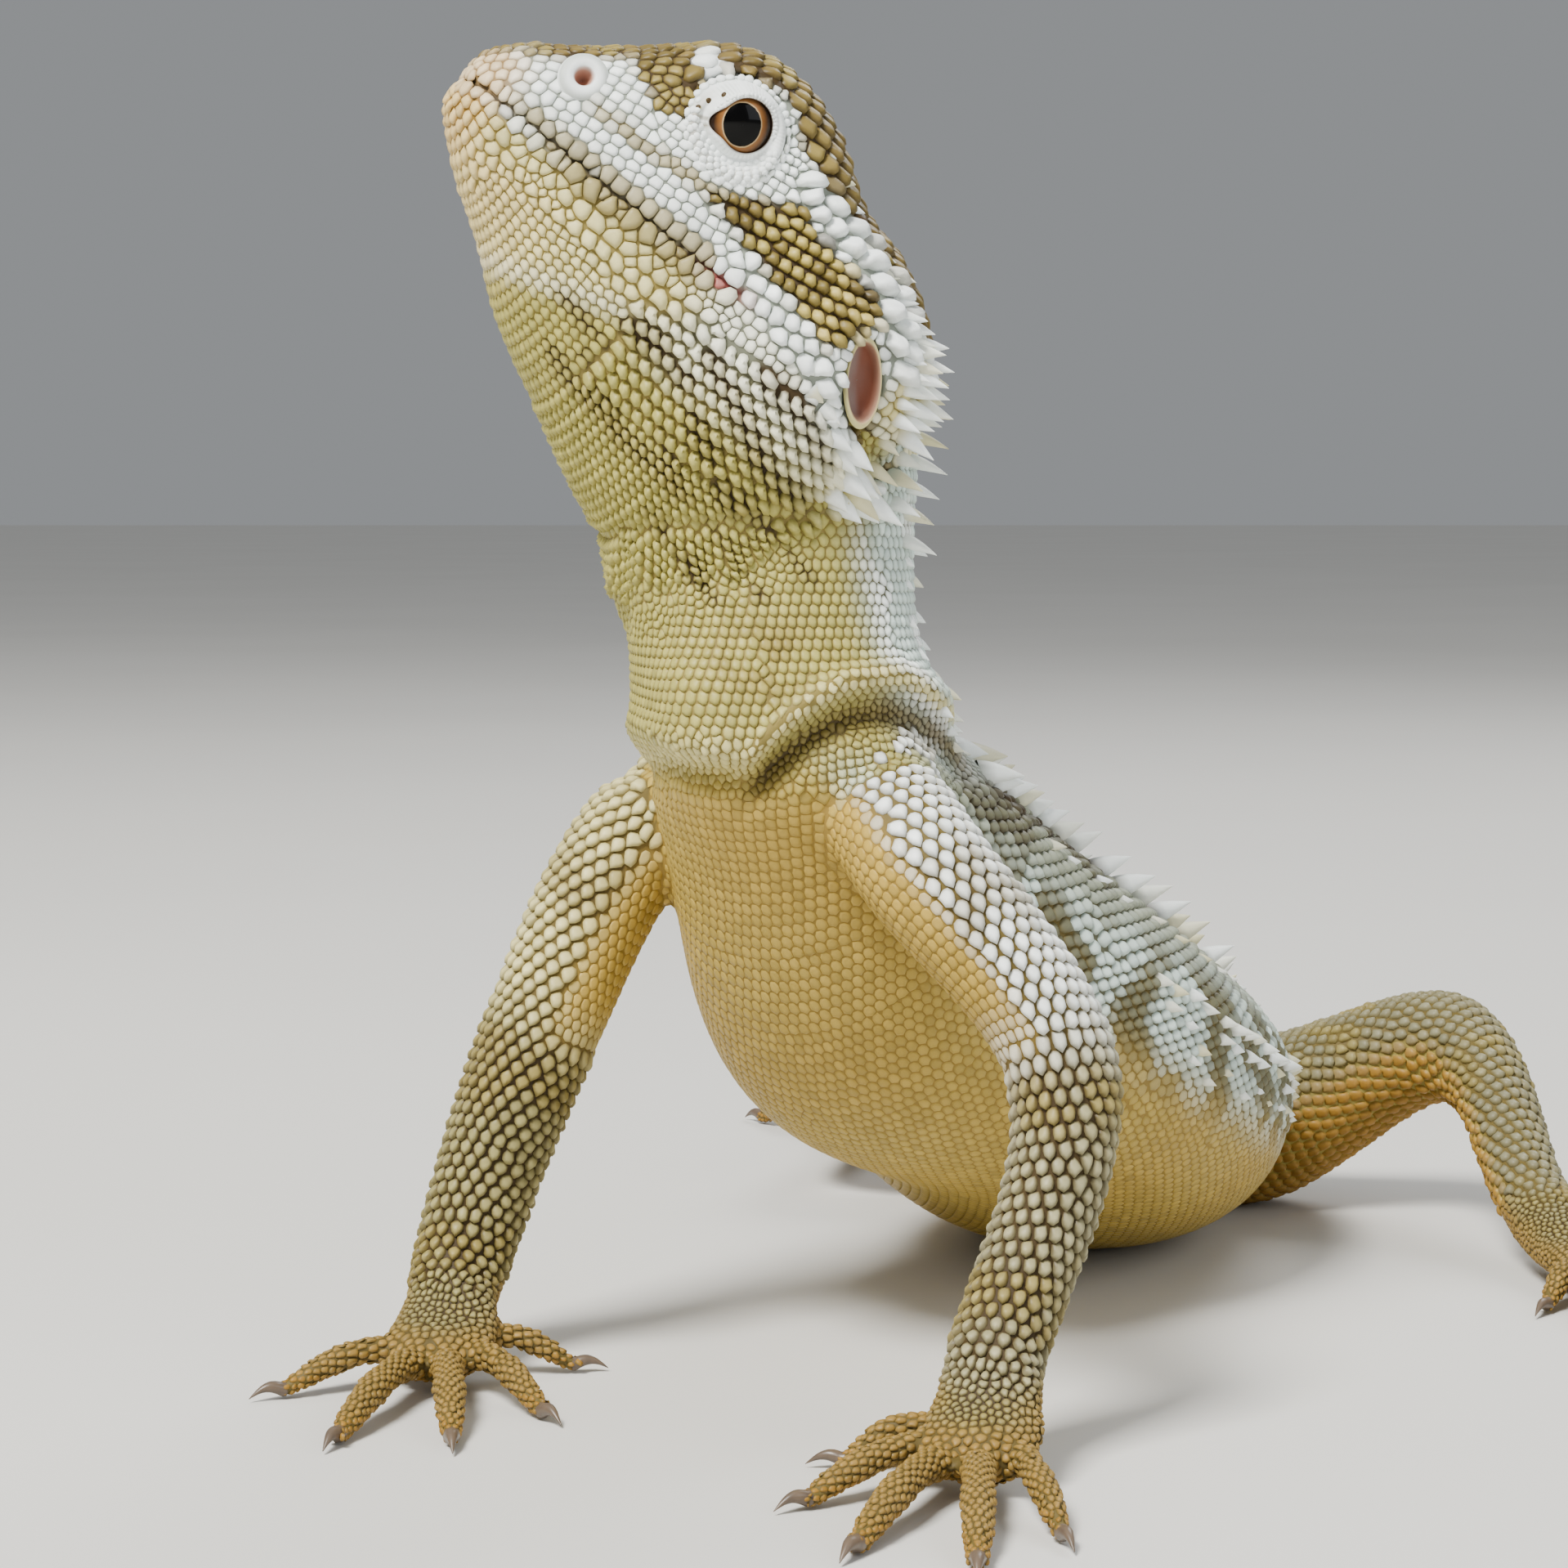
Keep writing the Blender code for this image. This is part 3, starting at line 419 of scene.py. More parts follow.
    def limb_rail(self, joints: Any, thick: Any) -> Rail:
        """A limb's rail, with sections square to a smooth line through its joints."""
        joints, thick = np.array(joints, float), np.array(thick, float)
        forwards = -unit(np.gradient(joints, lengths_along(joints), axis=0))
        ups = np.tile([0.0, -0.35, 1.0], (len(joints), 1)) + forwards[:, [2, 2, 2]] * [-0.9, 0.3, 0.0]
        return Rail(joints, forwards, ups, np.stack([thick] * 3, 1), self.limb_power)

    def body_at(self, name: str, share: float = 0.0) -> float:
        """The distance along the body of a share of the way past a named station."""
        index = self.body_names.index(name)
        last = min(index + 1, len(self.body.knots) - 1)
        return float(self.body.knots[index] * (1 - share) + self.body.knots[last] * share)

    def to_head(self, points: Array) -> Array:
        """Points in the head's frame: forward, left, up."""
        return (points - np.array(self.head_origin)) @ self.head_axes.T

    def from_head(self, local: Array) -> Array:
        """Points of the head's frame in the maker's frame."""
        return local @ self.head_axes + np.array(self.head_origin)

    def head_sizes(self, forward: Array) -> Array:
        """Half width, height above and depth below the mouth line."""
        table = np.array(self.head_stations, float)
        return smooth(table[:, 0], table[:, 1:], np.clip(forward, table[0, 0], table[-1, 0]))

    def head_surface(self, forward: Any, angle: Any, grow: float = 0.0) -> Array:
        """Points of the head in its own frame.

        A rounded section at each distance, with bell-shaped rises added to the sides for brow, cheek and
        lips.

        Args:
            forward: Distance along the head.
            angle: Turn from the crown.
            grow: Distance to move outwards.

        Returns:
            Forward, left and up for each point.
        """
        forward, angle = paired(forward, angle)
        across, above, below = (self.head_sizes(forward) + grow).T
        out, up = oval(angle, across, above, below, self.head_power)
        side = np.sign(out) * np.clip(np.abs(out), 0, 1)
        return np.stack([forward, out + side * self.rises(forward, up), up], 1)

    @staticmethod
    def rises(forward: Array, up: Array) -> Array:
        """How far brow, cheek and lips stand out from the head's plain sections."""
        brow = 1.1 * hump(forward, 8.5, 5.5) * hump(up, 14.6, 2.2)
        cheek = 0.8 * hump(forward, -5.0, 5.0) * hump(up, 2.0, 5.0)
        return brow + cheek + 0.55 * hump(up, 0.0, 1.7) / (1 + np.exp(-(forward - 1.5)))

    def side_out(self, forward: Any, up: Any) -> Array:
        """How far out the head's side is at each distance forward and height."""
        forward, up = paired(forward, up)
        across, above, below = self.head_sizes(forward).T
        tall, square = np.where(up > 0, above, below), np.where(up > 0, *self.head_power)
        out = across * (1 - np.clip(np.abs(up / tall), 0, 1) ** square) ** (1 / square)
        return out + np.clip(out, 0, 1) * self.rises(forward, up)

    def side_points(self, forward: Any, up: Any, side: int) -> Array:
        """Points of the head's side at distances forward and heights, in the head's frame."""
        forward, up = paired(forward, up)
        return np.stack([forward, self.side_out(forward, up) * side, up], 1)

    def ear_axes(self, forward: Array, up: Array) -> tuple[Array, Array]:
        """Distances across and along the leaned ear opening."""
        away, rise = forward - self.ear[0], up - self.ear[1]
        cos, sin = math.cos(self.ear_lean), math.sin(self.ear_lean)
        return away * cos - rise * sin, away * sin + rise * cos

    def head_reach(self, local: Array) -> Array:
        """How far points are from the head's axis, as a share of its section."""
        across, above, below = np.maximum(self.head_sizes(local[:, 0]), 0.5).T
        forward, out, up = local.T
        tall, square = np.where(up > 0, above, below), np.where(up > 0, *self.head_power)
        rear = self.head_stations[0][0]
        past = np.maximum(rear - forward, 0) + np.maximum(forward - self.snout_tip, 0)
        return oval_reach(out, up, across, tall, square) + past / 6


@dataclass(frozen=True)
class Place:
    """Turns millimetres of the maker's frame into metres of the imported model."""

    shift: Array

    @classmethod
    def from_eye(cls, shape: Frame) -> "Place":
        """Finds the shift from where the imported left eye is."""
        low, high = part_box(EYE_NODES[0])
        centre = shape.from_head(np.array([shape.eye]))[0]
        return cls((np.array(low) + np.array(high)) / 2 - centre * MM)

    def metres(self, points: Array) -> Array:
        """Points in metres of the model's frame."""
        return points * MM + self.shift


@dataclass
class Where:
    """For each point: its region, place on the unwrap, head coordinates, lie, foot share and outward way."""

    points: Array
    region: Array
    along: Array
    angle: Array
    head: Array
    lie: Array
    foot: Array
    away: Array

    @property
    def turn(self) -> Array:
        """Degrees from the top, the same on the left and the right."""
        return np.degrees(np.abs(self.angle))

    def on(self, *regions: Region) -> Array:
        """Whether each point is on one of the regions."""
        return np.isin(self.region, [region.value for region in regions])

    def on_neck(self) -> Array:
        """Whether each point is on the neck, where it is on the body at all."""
        return (self.points[:, 2] > NECK_LOW) & (self.points[:, 1] < NECK_BACK)

    def part(self, keep: Array) -> "Where":
        """The same for some of the points."""
        return Where(*(value[keep] for value in vars(self).values()))


class Atlas:
    """Says where on the animal any point is."""

    def __init__(self, shape: Frame, feet: "Feet") -> None:
        """Keeps the rails, and samples the middle lines of palms and digits."""
        self.shape = shape
        spots, owners, reaches = [], [], []
        for region, (wrist, toes, _, digits) in feet.feet.items():
            line = np.linspace(np.array(wrist) - [0, 0, 2.0], np.array(toes), 6)
            spots.append(line)
            reaches.append(np.full(len(line), 5.6))
            for root, heading, length, thick in digits:
                ahead = unit([heading[0], heading[1], 0.0])
                spots.append(feet.centre(np.array(root), ahead, thick, length, np.linspace(0, 1.15, 16)))
                reaches.append(np.full(16, 2.7))
            owners.append(np.full(86, region.value))
        self.spots, self.owners, self.reaches = (np.concatenate(v) for v in (spots, owners, reaches))

    def find(self, points: Array) -> Where:
        """Where each point is.

        A point belongs to the rail whose section reaches it most nearly, or to the foot whose middle lines
        are close; scales lie from snout to tail tip, and down each limb to its claws.

        Args:
            points: Places in millimetres.

        Returns:
            The region, chart coordinates and lie of each point.
        """
        shape = self.shape
        head = shape.to_head(points)
        down = 0.25 * step(2.0, -6.0, head[:, 2]) + 0.1
        back = -shape.head_axes[0][None] - shape.head_axes[2][None] * down[:, None]
        found = {Region.HEAD: (
            np.abs(shape.head_reach(head) - 1), shape.snout_tip - head[:, 0],
            np.arctan2(head[:, 1], head[:, 2]), back, unit(head * [0, 1, 1]) @ shape.head_axes,
        )}
        for region, rail in {Region.BODY: shape.body, **shape.limbs}.items():
            along, angle, reach = rail.locate(points)
            centre, forward, _, _ = rail.axes(along)
            found[region] = (np.abs(reach - 1), along, angle, -forward, unit(points - centre))
        columns = [np.stack([found[region][k] for region in Region]) for k in range(5)]
        region = np.argmin(columns[0], axis=0)
        gap = (points**2).sum(1)[:, None] - 2 * points @ self.spots.T + (self.spots**2).sum(1)[None]
        ratio = np.sqrt(np.maximum(gap, 0)) / self.reaches
        best = np.argmin(ratio, axis=1)
        rows = np.arange(len(points))
        stands = (ratio[rows, best] < 1) & (points[:, 2] < 9)
        region = np.where(stands, self.owners[best], region)
        along, angle, lie, away = (columns[k][region, rows] for k in range(1, 5))
        foot = stands * step(9.0, 6.0, points[:, 2])
        for item, rail in shape.limbs.items():
            on = (region == item.value) & (foot > 0.5)
            flat = (points - rail.centres[3]) * [1, 1, 0]
            ahead = unit((rail.centres[4] - rail.centres[3]) * [1, 1, 0])
            bearing = np.arctan2(ahead[0] * flat[:, 1] - ahead[1] * flat[:, 0], flat @ ahead)
            turn = 0.42 * bearing + np.where(points[:, 2] < 1.3, math.pi, 0.0)
            along = np.where(on, rail.knots[3] + np.linalg.norm(flat, axis=1), along)
            angle = np.where(on, (turn + math.pi) % (2 * math.pi) - math.pi, angle)
            lie = np.where(on[:, None], unit(flat) - [0, 0, 0.15], lie)
        return Where(points, region, along, angle, head, unit(lie), foot, away)


class Paint:
    """Layers of colour over points: the scale's own tint, and the crease round it."""

    def __init__(self, count: int, tint: Colour, crease: Colour) -> None:
        """Starts with one tint and one crease all over."""
        self.tint = np.tile(np.array(tint), (count, 1))
        self.crease = np.tile(np.array(crease), (count, 1))
        self.border = np.full(count, 0.25)

    def lay(self, mask: Array, tint: Colour | None = None, crease: Colour | None = None,
            border: float | None = None) -> None:
        """Mixes new colours in where the mask is above 0."""
        share = np.clip(mask, 0, 1)[:, None]
        if tint is not None:
            self.tint = self.tint * (1 - share) + np.array(tint) * share
        if crease is not None:
            self.crease = self.crease * (1 - share) + np.array(crease) * share
        if border is not None:
            self.border = self.border * (1 - share[:, 0]) + border * share[:, 0]


@dataclass
class Markings:
    """The animal's pattern and some painted shade, from places on its body, the same for skin and scales."""

    crown: tuple = (
        (27.5, 1.8), (24.6, 5.4), (22.4, 8.2), (18.6, 9.4), (16.4, 8.9), (13.8, 9.9), (12.9, 12.2),
        (11.4, 13.7), (8.4, 15.0), (6.0, 14.4), (4.4, 12.6), (2.6, 11.6), (-0.2, 11.4), (-3.0, 10.4),
        (-7.5, 9.3), (-11.5, 7.6), (-19.0, 6.5), (-19.0, 40.0), (30.0, 40.0),
    )
    temple: tuple = (
        (8.2, 4.6), (5.4, 6.4), (1.5, 8.6), (-1.1, 7.3), (-5.2, 6.9), (-8.6, 5.9), (-7.6, 2.8), (-6.0, 0.6),
        (-0.7, 1.9), (4.1, 3.7),
    )
    lore: tuple = ((18.4, 9.3), (15.2, 7.4), (12.6, 7.6), (11.6, 9.6), (13.4, 11.6), (16.4, 10.8))
    stripe: tuple = ((4.0, 10.6), (-1.5, 9.6), (-7.0, 8.0), (-13.0, 4.6))
    cheek_band: tuple = ((3.0, 1.7), (-3.0, 0.2), (-7.0, -0.9), (-11.0, -2.7), (-15.0, -3.9), (-19.0, -5.2))
    under_eye: tuple = ((18.5, 4.4), (12.5, 4.5), (7.5, 5.0))
    hollow: tuple = ((-12.8, -1.9), (-17.5, -3.2))
    cheek_bars: tuple = (
        ((6.7, -7.3), (0.4, -7.4), 0.7), ((0.1, -5.4), (-6.8, -8.3), 0.9),
        ((-3.8, -3.5), (-12.3, -5.6), 0.9), ((-7.8, -2.9), (-12.6, -4.3), 0.7),
        ((-8.1, -9.4), (-13.4, -9.7), 0.8), ((-1.1, -12.5), (-5.3, -14.9), 0.6),
        ((7.1, -11.3), (1.2, -14.6), 0.5), ((-2.0, -9.8), (-9.0, -13.5), 0.6),
        ((12.5, -8.6), (6.5, -9.6), 0.35), ((9.5, -12.6), (1.5, -14.2), 0.25),
        ((1.5, -14.2), (-6.0, -14.8), 0.40), ((-6.0, -14.8), (-15.5, -17.4), 0.35),
        ((-9.5, -12.2), (-19.0, -14.0), 0.30), ((-4.0, -17.6), (-13.0, -20.0), 0.25),
    )

    def paint(self, where: Where) -> Paint:
        """Tint, crease and border of each point.

        Args:
            where: The points.

        Returns:
            The layered colours.
        """
        paint = Paint(len(where.points), HUES.grey, HUES.slate)
        self.trunk(paint, where)
        self.neck(paint, where)
        self.limbs(paint, where)
        self.face(paint, where)
        self.cheek(paint, where)
        return paint

    def trunk(self, paint: Paint, where: Where) -> None:
        """Back, flanks, belly and tail."""
        mine = where.on(Region.BODY).astype(float)
        turn = where.turn
        points = where.points
        patches = ripple(points, 6.5, 1)
        fine = ripple(points, 2.6, 2)
        back = mine * step(84, 62, turn)
        paint.lay(back, HUES.grey, HUES.slate, 0.35)
        paint.lay(back * step(-0.35, 0.3, patches + 0.5 * fine), HUES.slate, HUES.brown, 0.6)
        bands = np.sin(where.along / 9.0) * 0.7 + fine * 0.4
        paint.lay(back * hump(turn, 24, 10) * step(0.0, 0.6, bands), HUES.white, HUES.slate, 0.2)
        paint.lay(back * hump(turn, 44, 5) * step(-0.5, 0.4, fine + 0.3), HUES.brown, HUES.brown, 0.6)
        flank = mine * step(62, 80, turn) * step(118, 100, turn)
        paint.lay(flank, HUES.ice, HUES.slate, 0.4)
        paint.lay(flank * step(-0.3, 0.3, ripple(points, 4.4, 5) + 0.4 * fine), HUES.slate, HUES.olive, 0.6)
        belly = mine * step(92, 112, turn)
        paint.lay(belly, HUES.belly, HUES.belly_edge, 0.10)
        paint.lay(belly * (0.5 + 0.5 * ripple(points, 14.0, 9)) * 0.35, HUES.gold)
        tail = mine * step(200, 222, where.along)
        rings = step(-0.2, 0.5, np.sin(where.along / 4.6) + 0.3 * fine)
        paint.lay(tail * step(120, 90, turn), HUES.grey, HUES.slate, 0.3)
        paint.lay(tail * step(115, 80, turn) * rings * 0.75, HUES.tan, HUES.olive, 0.4)
        paint.lay(tail * step(95, 125, turn), HUES.cream, HUES.tan, 0.3)

    def neck(self, paint: Paint, where: Where) -> None:
        """Throat, sides of the neck, the collar's pale edge and painted shadow in the hollow under it."""
        mine = where.on(Region.BODY).astype(float)
        turn = where.turn
        x, y, z = where.points.T
        fine = ripple(where.points, 2.2, 11)
        neck = mine * step(50.0, 57.0, z) * step(30.0, 24.0, y)
        front = step(48, 78, turn)
        paint.lay(neck * (1 - front), HUES.ice, HUES.crease, 0.35)
        pale = step(0.3, 0.9, ripple(where.points, 4.0, 12))
        paint.lay(neck * (1 - front) * pale, HUES.white, HUES.slate, 0.35)
        paint.lay(neck * front, HUES.throat, HUES.khaki, 0.35)
        shade = neck * hump(x, -1.0, 4.0) * hump(z, 63.0, 3.0) * step(4.0, -2.0, y)
        paint.lay(shade * step(-0.6, 0.4, fine), HUES.khaki, HUES.olive, 0.5)
        line, share = Skin.arch(where.points)
        paint.lay(mine * share * hump(line, 0.2, 0.9), HUES.cream, HUES.khaki, 0.2)
        # Painted shadow: olive and brown in the hollow under the collar's arch.
        paint.lay(mine * share * hump(line, -2.9, 1.7) * 0.9, HUES.olive, HUES.brown, 0.5)
        paint.lay(neck * (1 - share) * hump(z - 0.12 * x, 56.0, 1.6), HUES.cream, HUES.khaki, 0.3)

    @staticmethod
    def inner(where: Where) -> Array:
        """How far each point is on the smooth inner side of an upper arm."""
        share = np.zeros(len(where.points))
        for region, side, high in ((Region.LEFT_ARM, 1, 0.57), (Region.RIGHT_ARM, -1, 0.15)):
            outer = where.away @ np.array([0.80 * side, -0.10, high])
            lower = step(26.0, 36.0, where.along)
            scaled = np.maximum(step(-0.30, 0.20, outer), lower * step(-0.95, -0.3, outer + 0.35))
            share = np.where(where.on(region), (1 - scaled) * (where.foot < 0.5), share)
        return share

    def limbs(self, paint: Paint, where: Where) -> None:
        """Arms with smooth golden inner sides, legs pale above and golden beneath, hands and feet."""
        points, foot = where.points, where.foot
        fine = ripple(points, 2.2, 22)
        for region in (Region.LEFT_ARM, Region.RIGHT_ARM, Region.LEFT_LEG, Region.RIGHT_LEG):
            mine = where.on(region).astype(float)
            side = -1 if region in (Region.RIGHT_ARM, Region.RIGHT_LEG) else 1
            if region in (Region.LEFT_LEG, Region.RIGHT_LEG):
                over = where.away[:, 2] + 0.3 * where.away[:, 0] * side
                paint.lay(mine, HUES.amber, HUES.gold, 0.2)
                paint.lay(mine * step(-0.35, 0.25, over), HUES.thigh, HUES.olive, 0.55)
                spots = step(0.2, 0.8, np.sin(where.along / 3.4) * 0.6 + 0.5 * fine)
                paint.lay(mine * step(-0.2, 0.3, over) * spots * 0.7, HUES.khaki, HUES.olive, 0.5)
                continue
            lower, scaled = step(26.0, 36.0, where.along), 1 - self.inner(where)
            paint.lay(mine, HUES.belly, HUES.belly_edge, 0.12)
            paint.lay(mine * scaled, HUES.white if side > 0 else HUES.cream, HUES.olive, 0.55)
            paint.lay(mine * scaled * lower * 0.9, HUES.forearm, HUES.brown, 0.8)
            bands = step(0.15, 0.75, np.sin(where.along / 2.7 + 0.8) * 0.75 + 0.4 * fine)
            paint.lay(mine * scaled * bands * (0.45 + 0.35 * lower), HUES.khaki, HUES.brown, 0.75)
        low = step(3.4, 1.5, points[:, 2])
        paint.lay(foot, HUES.hand, HUES.brown, 0.7)
        paint.lay(foot * step(0.0, 0.7, fine) * 0.6, HUES.khaki, HUES.brown, 0.65)
        side = step(0.55, -0.1, where.away[:, 2])
        paint.lay(foot * np.maximum(low, side * 0.7), HUES.amber, HUES.olive, 0.5)

    def face(self, paint: Paint, where: Where) -> None:
        """Crown, snout, lips, lore, temple and the white stripes between them."""
        mine = where.on(Region.HEAD).astype(float)
        f, out, u = where.head.T
        out = np.abs(out)
        fine = ripple(where.points, 1.7, 31)
        soft = ripple(where.points, 4.5, 32)
        paint.lay(mine, HUES.white, HUES.crease, 0.28)
        low = mine * step(-3.2, -6.5, u + 0.35 * np.clip(f - 2, 0, 20))
        paint.lay(low, HUES.throat, HUES.khaki, 0.38)
        paint.lay(mine * step(-0.6, -1.2, u) * (1 - low) * step(0.0, 4.0, f), HUES.cream, HUES.khaki, 0.35)
        lips = mine * step(2.0, 4.5, f) * step(26.5, 22.0, f)
        paint.lay(lips * hump(u, 0.85, 0.7) * 0.8, HUES.khaki, HUES.olive, 0.5)
        paint.lay(lips * hump(u, -1.1, 0.85) * step(21.0, 17.0, f) * 0.75, HUES.khaki, HUES.olive, 0.5)
        paint.lay(lips * hump(u, -0.45, 0.4) * step(24.0, 19.0, f) * 0.9, HUES.khaki, HUES.olive, 0.5)
        snout = mine * step(22.5, 26.0, f) * step(5.0, 3.0, u)
        paint.lay(snout * 0.8, HUES.peach, HUES.amber, 0.25)
        paint.lay(mine * step(12, 22, f) * step(-2.0, -5.0, u) * 0.5, HUES.peach, HUES.khaki, 0.3)
        crown = mine * step(0.5, -0.4, patch(f, u, self.crown) + 0.35 * fine)
        crown = np.maximum(crown, mine * step(5.2, 3.8, out) * step(4.0, 6.0, u))
        paint.lay(crown, HUES.tan, HUES.brown, 0.55)
        paint.lay(crown * step(-0.1, 0.7, soft), HUES.khaki, HUES.brown, 0.6)
        paint.lay(crown * step(0.2, 0.8, -soft), HUES.olive, HUES.brown, 0.5)
        lore = mine * step(0.4, -0.3, patch(f, u, self.lore) + 0.3 * fine)
        paint.lay(lore, HUES.khaki, HUES.brown, 0.6)
        paint.lay(lore * step(0.0, 0.6, fine), HUES.olive, HUES.brown, 0.5)
        under = step(0.85, 0.3, trail(f, u, self.under_eye) + 0.15 * fine)
        paint.lay(mine * under * 0.8, HUES.khaki, HUES.olive, 0.5)
        temple = mine * step(0.35, -0.25, patch(f, u, self.temple))
        paint.lay(temple, HUES.gold, HUES.brown, 0.6)
        paint.lay(temple * step(-2.0, -7.0, f) * step(0.5, -0.5, fine), HUES.temple, HUES.olive, 0.5)
        paint.lay(temple * step(-0.1, 0.6, fine) * 0.8, HUES.olive, HUES.brown, 0.5)
        paint.lay(temple * step(2.0, 5.5, f) * 0.9, HUES.olive, HUES.brown, 0.6)
        paint.lay(mine * step(1.7, 1.1, trail(f, u, self.stripe)), HUES.white, HUES.crease, 0.35)
        paint.lay(mine * step(1.5, 0.9, np.hypot(f - 13.4, u - 13.0)), HUES.white, HUES.white, 0.1)

    def cheek(self, paint: Paint, where: Where) -> None:
        """The white band behind the mouth, dark bars under it, the hollow at the ear and the mouth's line."""
        mine = where.on(Region.HEAD).astype(float)
        f, _, u = where.head.T
        fine = ripple(where.points, 1.9, 33)
        behind = mine * step(-12.2, -14.0, f) * step(5.0, 3.5, u) * step(-9.0, -6.0, u)
        paint.lay(behind, HUES.cream, HUES.khaki, 0.4)
        white = mine * step(6.5, 1.0, f) * step(-10.5, -6.0, u) * step(0.5, -1.0, u)
        paint.lay(white * 0.75, HUES.cheek, HUES.slate, 0.45)
        _, y, z = where.points.T
        throat = np.maximum(mine, where.on(Region.BODY) * step(57.0, 61.0, z) * step(24.0, 20.0, y))
        for first, last, width in self.cheek_bars:
            near, _ = capsule(f, u, first, last)
            bar = throat * step(width + 0.5, width - 0.3, near + 0.45 * fine)
            paint.lay(bar * 0.35, HUES.khaki)
            paint.lay(bar, None, HUES.brown, 0.85)
        edge = mine * hump(trail(f, u, Markings.stripe), 2.0, 0.7) * step(1.5, -2.0, f) * step(3.0, 5.0, u)
        paint.lay(edge * step(-0.2, 0.4, fine), HUES.brown, HUES.brown, 0.6)
        band = trail(f, u, self.cheek_band)
        paint.lay(mine * step(1.7, 1.2, band), HUES.white, HUES.crease, 0.3)
        paint.lay(mine * step(1.3, 0.6, trail(f, u, self.hollow)), HUES.olive, HUES.brown, 0.7)
        line = mine * hump(u, 0.0, 0.34) * step(0.6, 1.2, f)
        paint.lay(line, HUES.brown, HUES.brown, 0.9)
        corner = mine * hump(f, 2.6, 1.9) * hump(u, -0.1, 0.5)
        paint.lay(corner * 1.3, HUES.pink, HUES.pink, 0.7)


def tube_faces(rings: int, columns: int) -> Array:
    """Squares between rings of points."""
    i = np.arange(columns)
    j = (i + 1) % columns
    base = np.arange(rings - 1)[:, None] * columns
    return np.stack([base + i, base + j, base + columns + j, base + columns + i], -1).reshape(-1, 4)


def closed_faces(rings: int, columns: int) -> list[tuple[int, ...]]:
    """Faces of a tube with a fan to a tip at either end.

    Args:
        rings: How many rings.
        columns: Points in each. The first and the last tip follow the points of the rings.

    Returns:
        The faces, turned outwards where the rings run away from the viewer and turn anticlockwise.
    """
    i = np.arange(columns)
    j = (i + 1) % columns
    tip, end = rings * columns, (rings - 1) * columns
    first = np.stack([j, i, np.full(columns, tip)], 1)
    last = np.stack([end + i, end + j, np.full(columns, tip + 1)], 1)
    return [tuple(face) for block in (tube_faces(rings, columns), first, last) for face in block.tolist()]


def facing(points: Array, faces: Array, inside: Array, index: int = 0) -> Array:
    """The faces, turned round where the one at index looks towards the point inside."""
    a, b, c = (points[faces[index, k]] for k in range(3))
    return faces[:, ::-1] if np.cross(b - a, c - b) @ (a - inside) < 0 else faces


def fill(mesh: bpy.types.Mesh, points: Array, faces: Array) -> None:
    """Puts points and faces of one size into a mesh.

    Args:
        mesh: The empty mesh.
        points: One row a vertex.
        faces: One row of vertex numbers a face.
    """
    count, sides = faces.shape
    mesh.vertices.add(len(points))
    mesh.vertices.foreach_set("co", np.ascontiguousarray(points, np.float32).ravel())
    mesh.loops.add(count * sides)
    mesh.loops.foreach_set("vertex_index", np.ascontiguousarray(faces, np.int32).ravel())
    mesh.polygons.add(count)
    mesh.polygons.foreach_set("loop_start", np.arange(count, dtype=np.int32) * sides)
    mesh.polygons.foreach_set("loop_total", np.full(count, sides, np.int32))
    mesh.polygons.foreach_set("use_smooth", np.ones(count, bool))
    mesh.update(calc_edges=True)


def put(name: str, data: Any) -> bpy.types.Object:
    """A new object of the scene that shows the data."""
    thing = bpy.data.objects.new(name, data)
    bpy.context.scene.collection.objects.link(thing)
    return thing


class Maker:
    """Makes the finished pieces: places them, gives them colours and lets them ride on the body."""

    def __init__(self, place: Place) -> None:
        """Keeps the shift to the model's frame."""
        self.place = place

    def piece(self, name: str, points: Array, faces: Array, finish: bpy.types.Material, slot: Slot,
              tints: Array | None = None, patches: Array | None = None) -> bpy.types.Object:
        """A finished piece from arrays.

        Args:
            name: The piece's name.
            points: Vertices in millimetres.
            faces: Vertex numbers, all faces of one size.
            finish: The material.
            slot: Not used.
            tints: A colour for each vertex.
            patches: A place on the unwrap for each vertex.

        Returns:
            The object, at the origin.
        """
        mesh = bpy.data.meshes.new(name)
        fill(mesh, self.place.metres(points), faces)
        if tints is not None:
            layer = mesh.color_attributes.new(name="tint", type="FLOAT_COLOR", domain="POINT")
            values = np.concatenate([tints, np.ones((len(tints), 1))], axis=1)
            layer.data.foreach_set("color", values.astype(np.float32).ravel())
        if patches is not None:
            layer = mesh.uv_layers.new(name="OFBake")
            layer.data.foreach_set("uv", patches[faces.ravel()].astype(np.float32).ravel())
        mesh.materials.append(finish)
        thing = put(name, mesh)
        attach(thing, BODY)
        log.info("%s: %d triangles", name, len(faces) * (faces.shape[1] - 2))
        return thing


class Link:
    """A socket of a shader node, with arithmetic that adds the Math nodes."""

    def __init__(self, nodes: "Nodes", socket: bpy.types.NodeSocket) -> None:
        """Wraps one output socket."""
        self.nodes, self.socket = nodes, socket

    def math(self, operation: str, first: Any, second: Any) -> "Link":
        """The result of one Math node."""
        return self.nodes.add("ShaderNodeMath", {"operation": operation}, {0: first, 1: second})

    def __add__(self, other: Any) -> "Link":
        """Sum."""
        return self.math("ADD", self, other)

    def __radd__(self, other: Any) -> "Link":
        """Sum, with the number first."""
        return self.math("ADD", other, self)

    def __sub__(self, other: Any) -> "Link":
        """Difference."""
        return self.math("SUBTRACT", self, other)

    def __rsub__(self, other: Any) -> "Link":
        """Difference, with the number first."""
        return self.math("SUBTRACT", other, self)

    def __mul__(self, other: Any) -> "Link":
        """Product."""
        return self.math("MULTIPLY", self, other)

    def __rmul__(self, other: Any) -> "Link":
        """Product, with the number first."""
        return self.math("MULTIPLY", other, self)


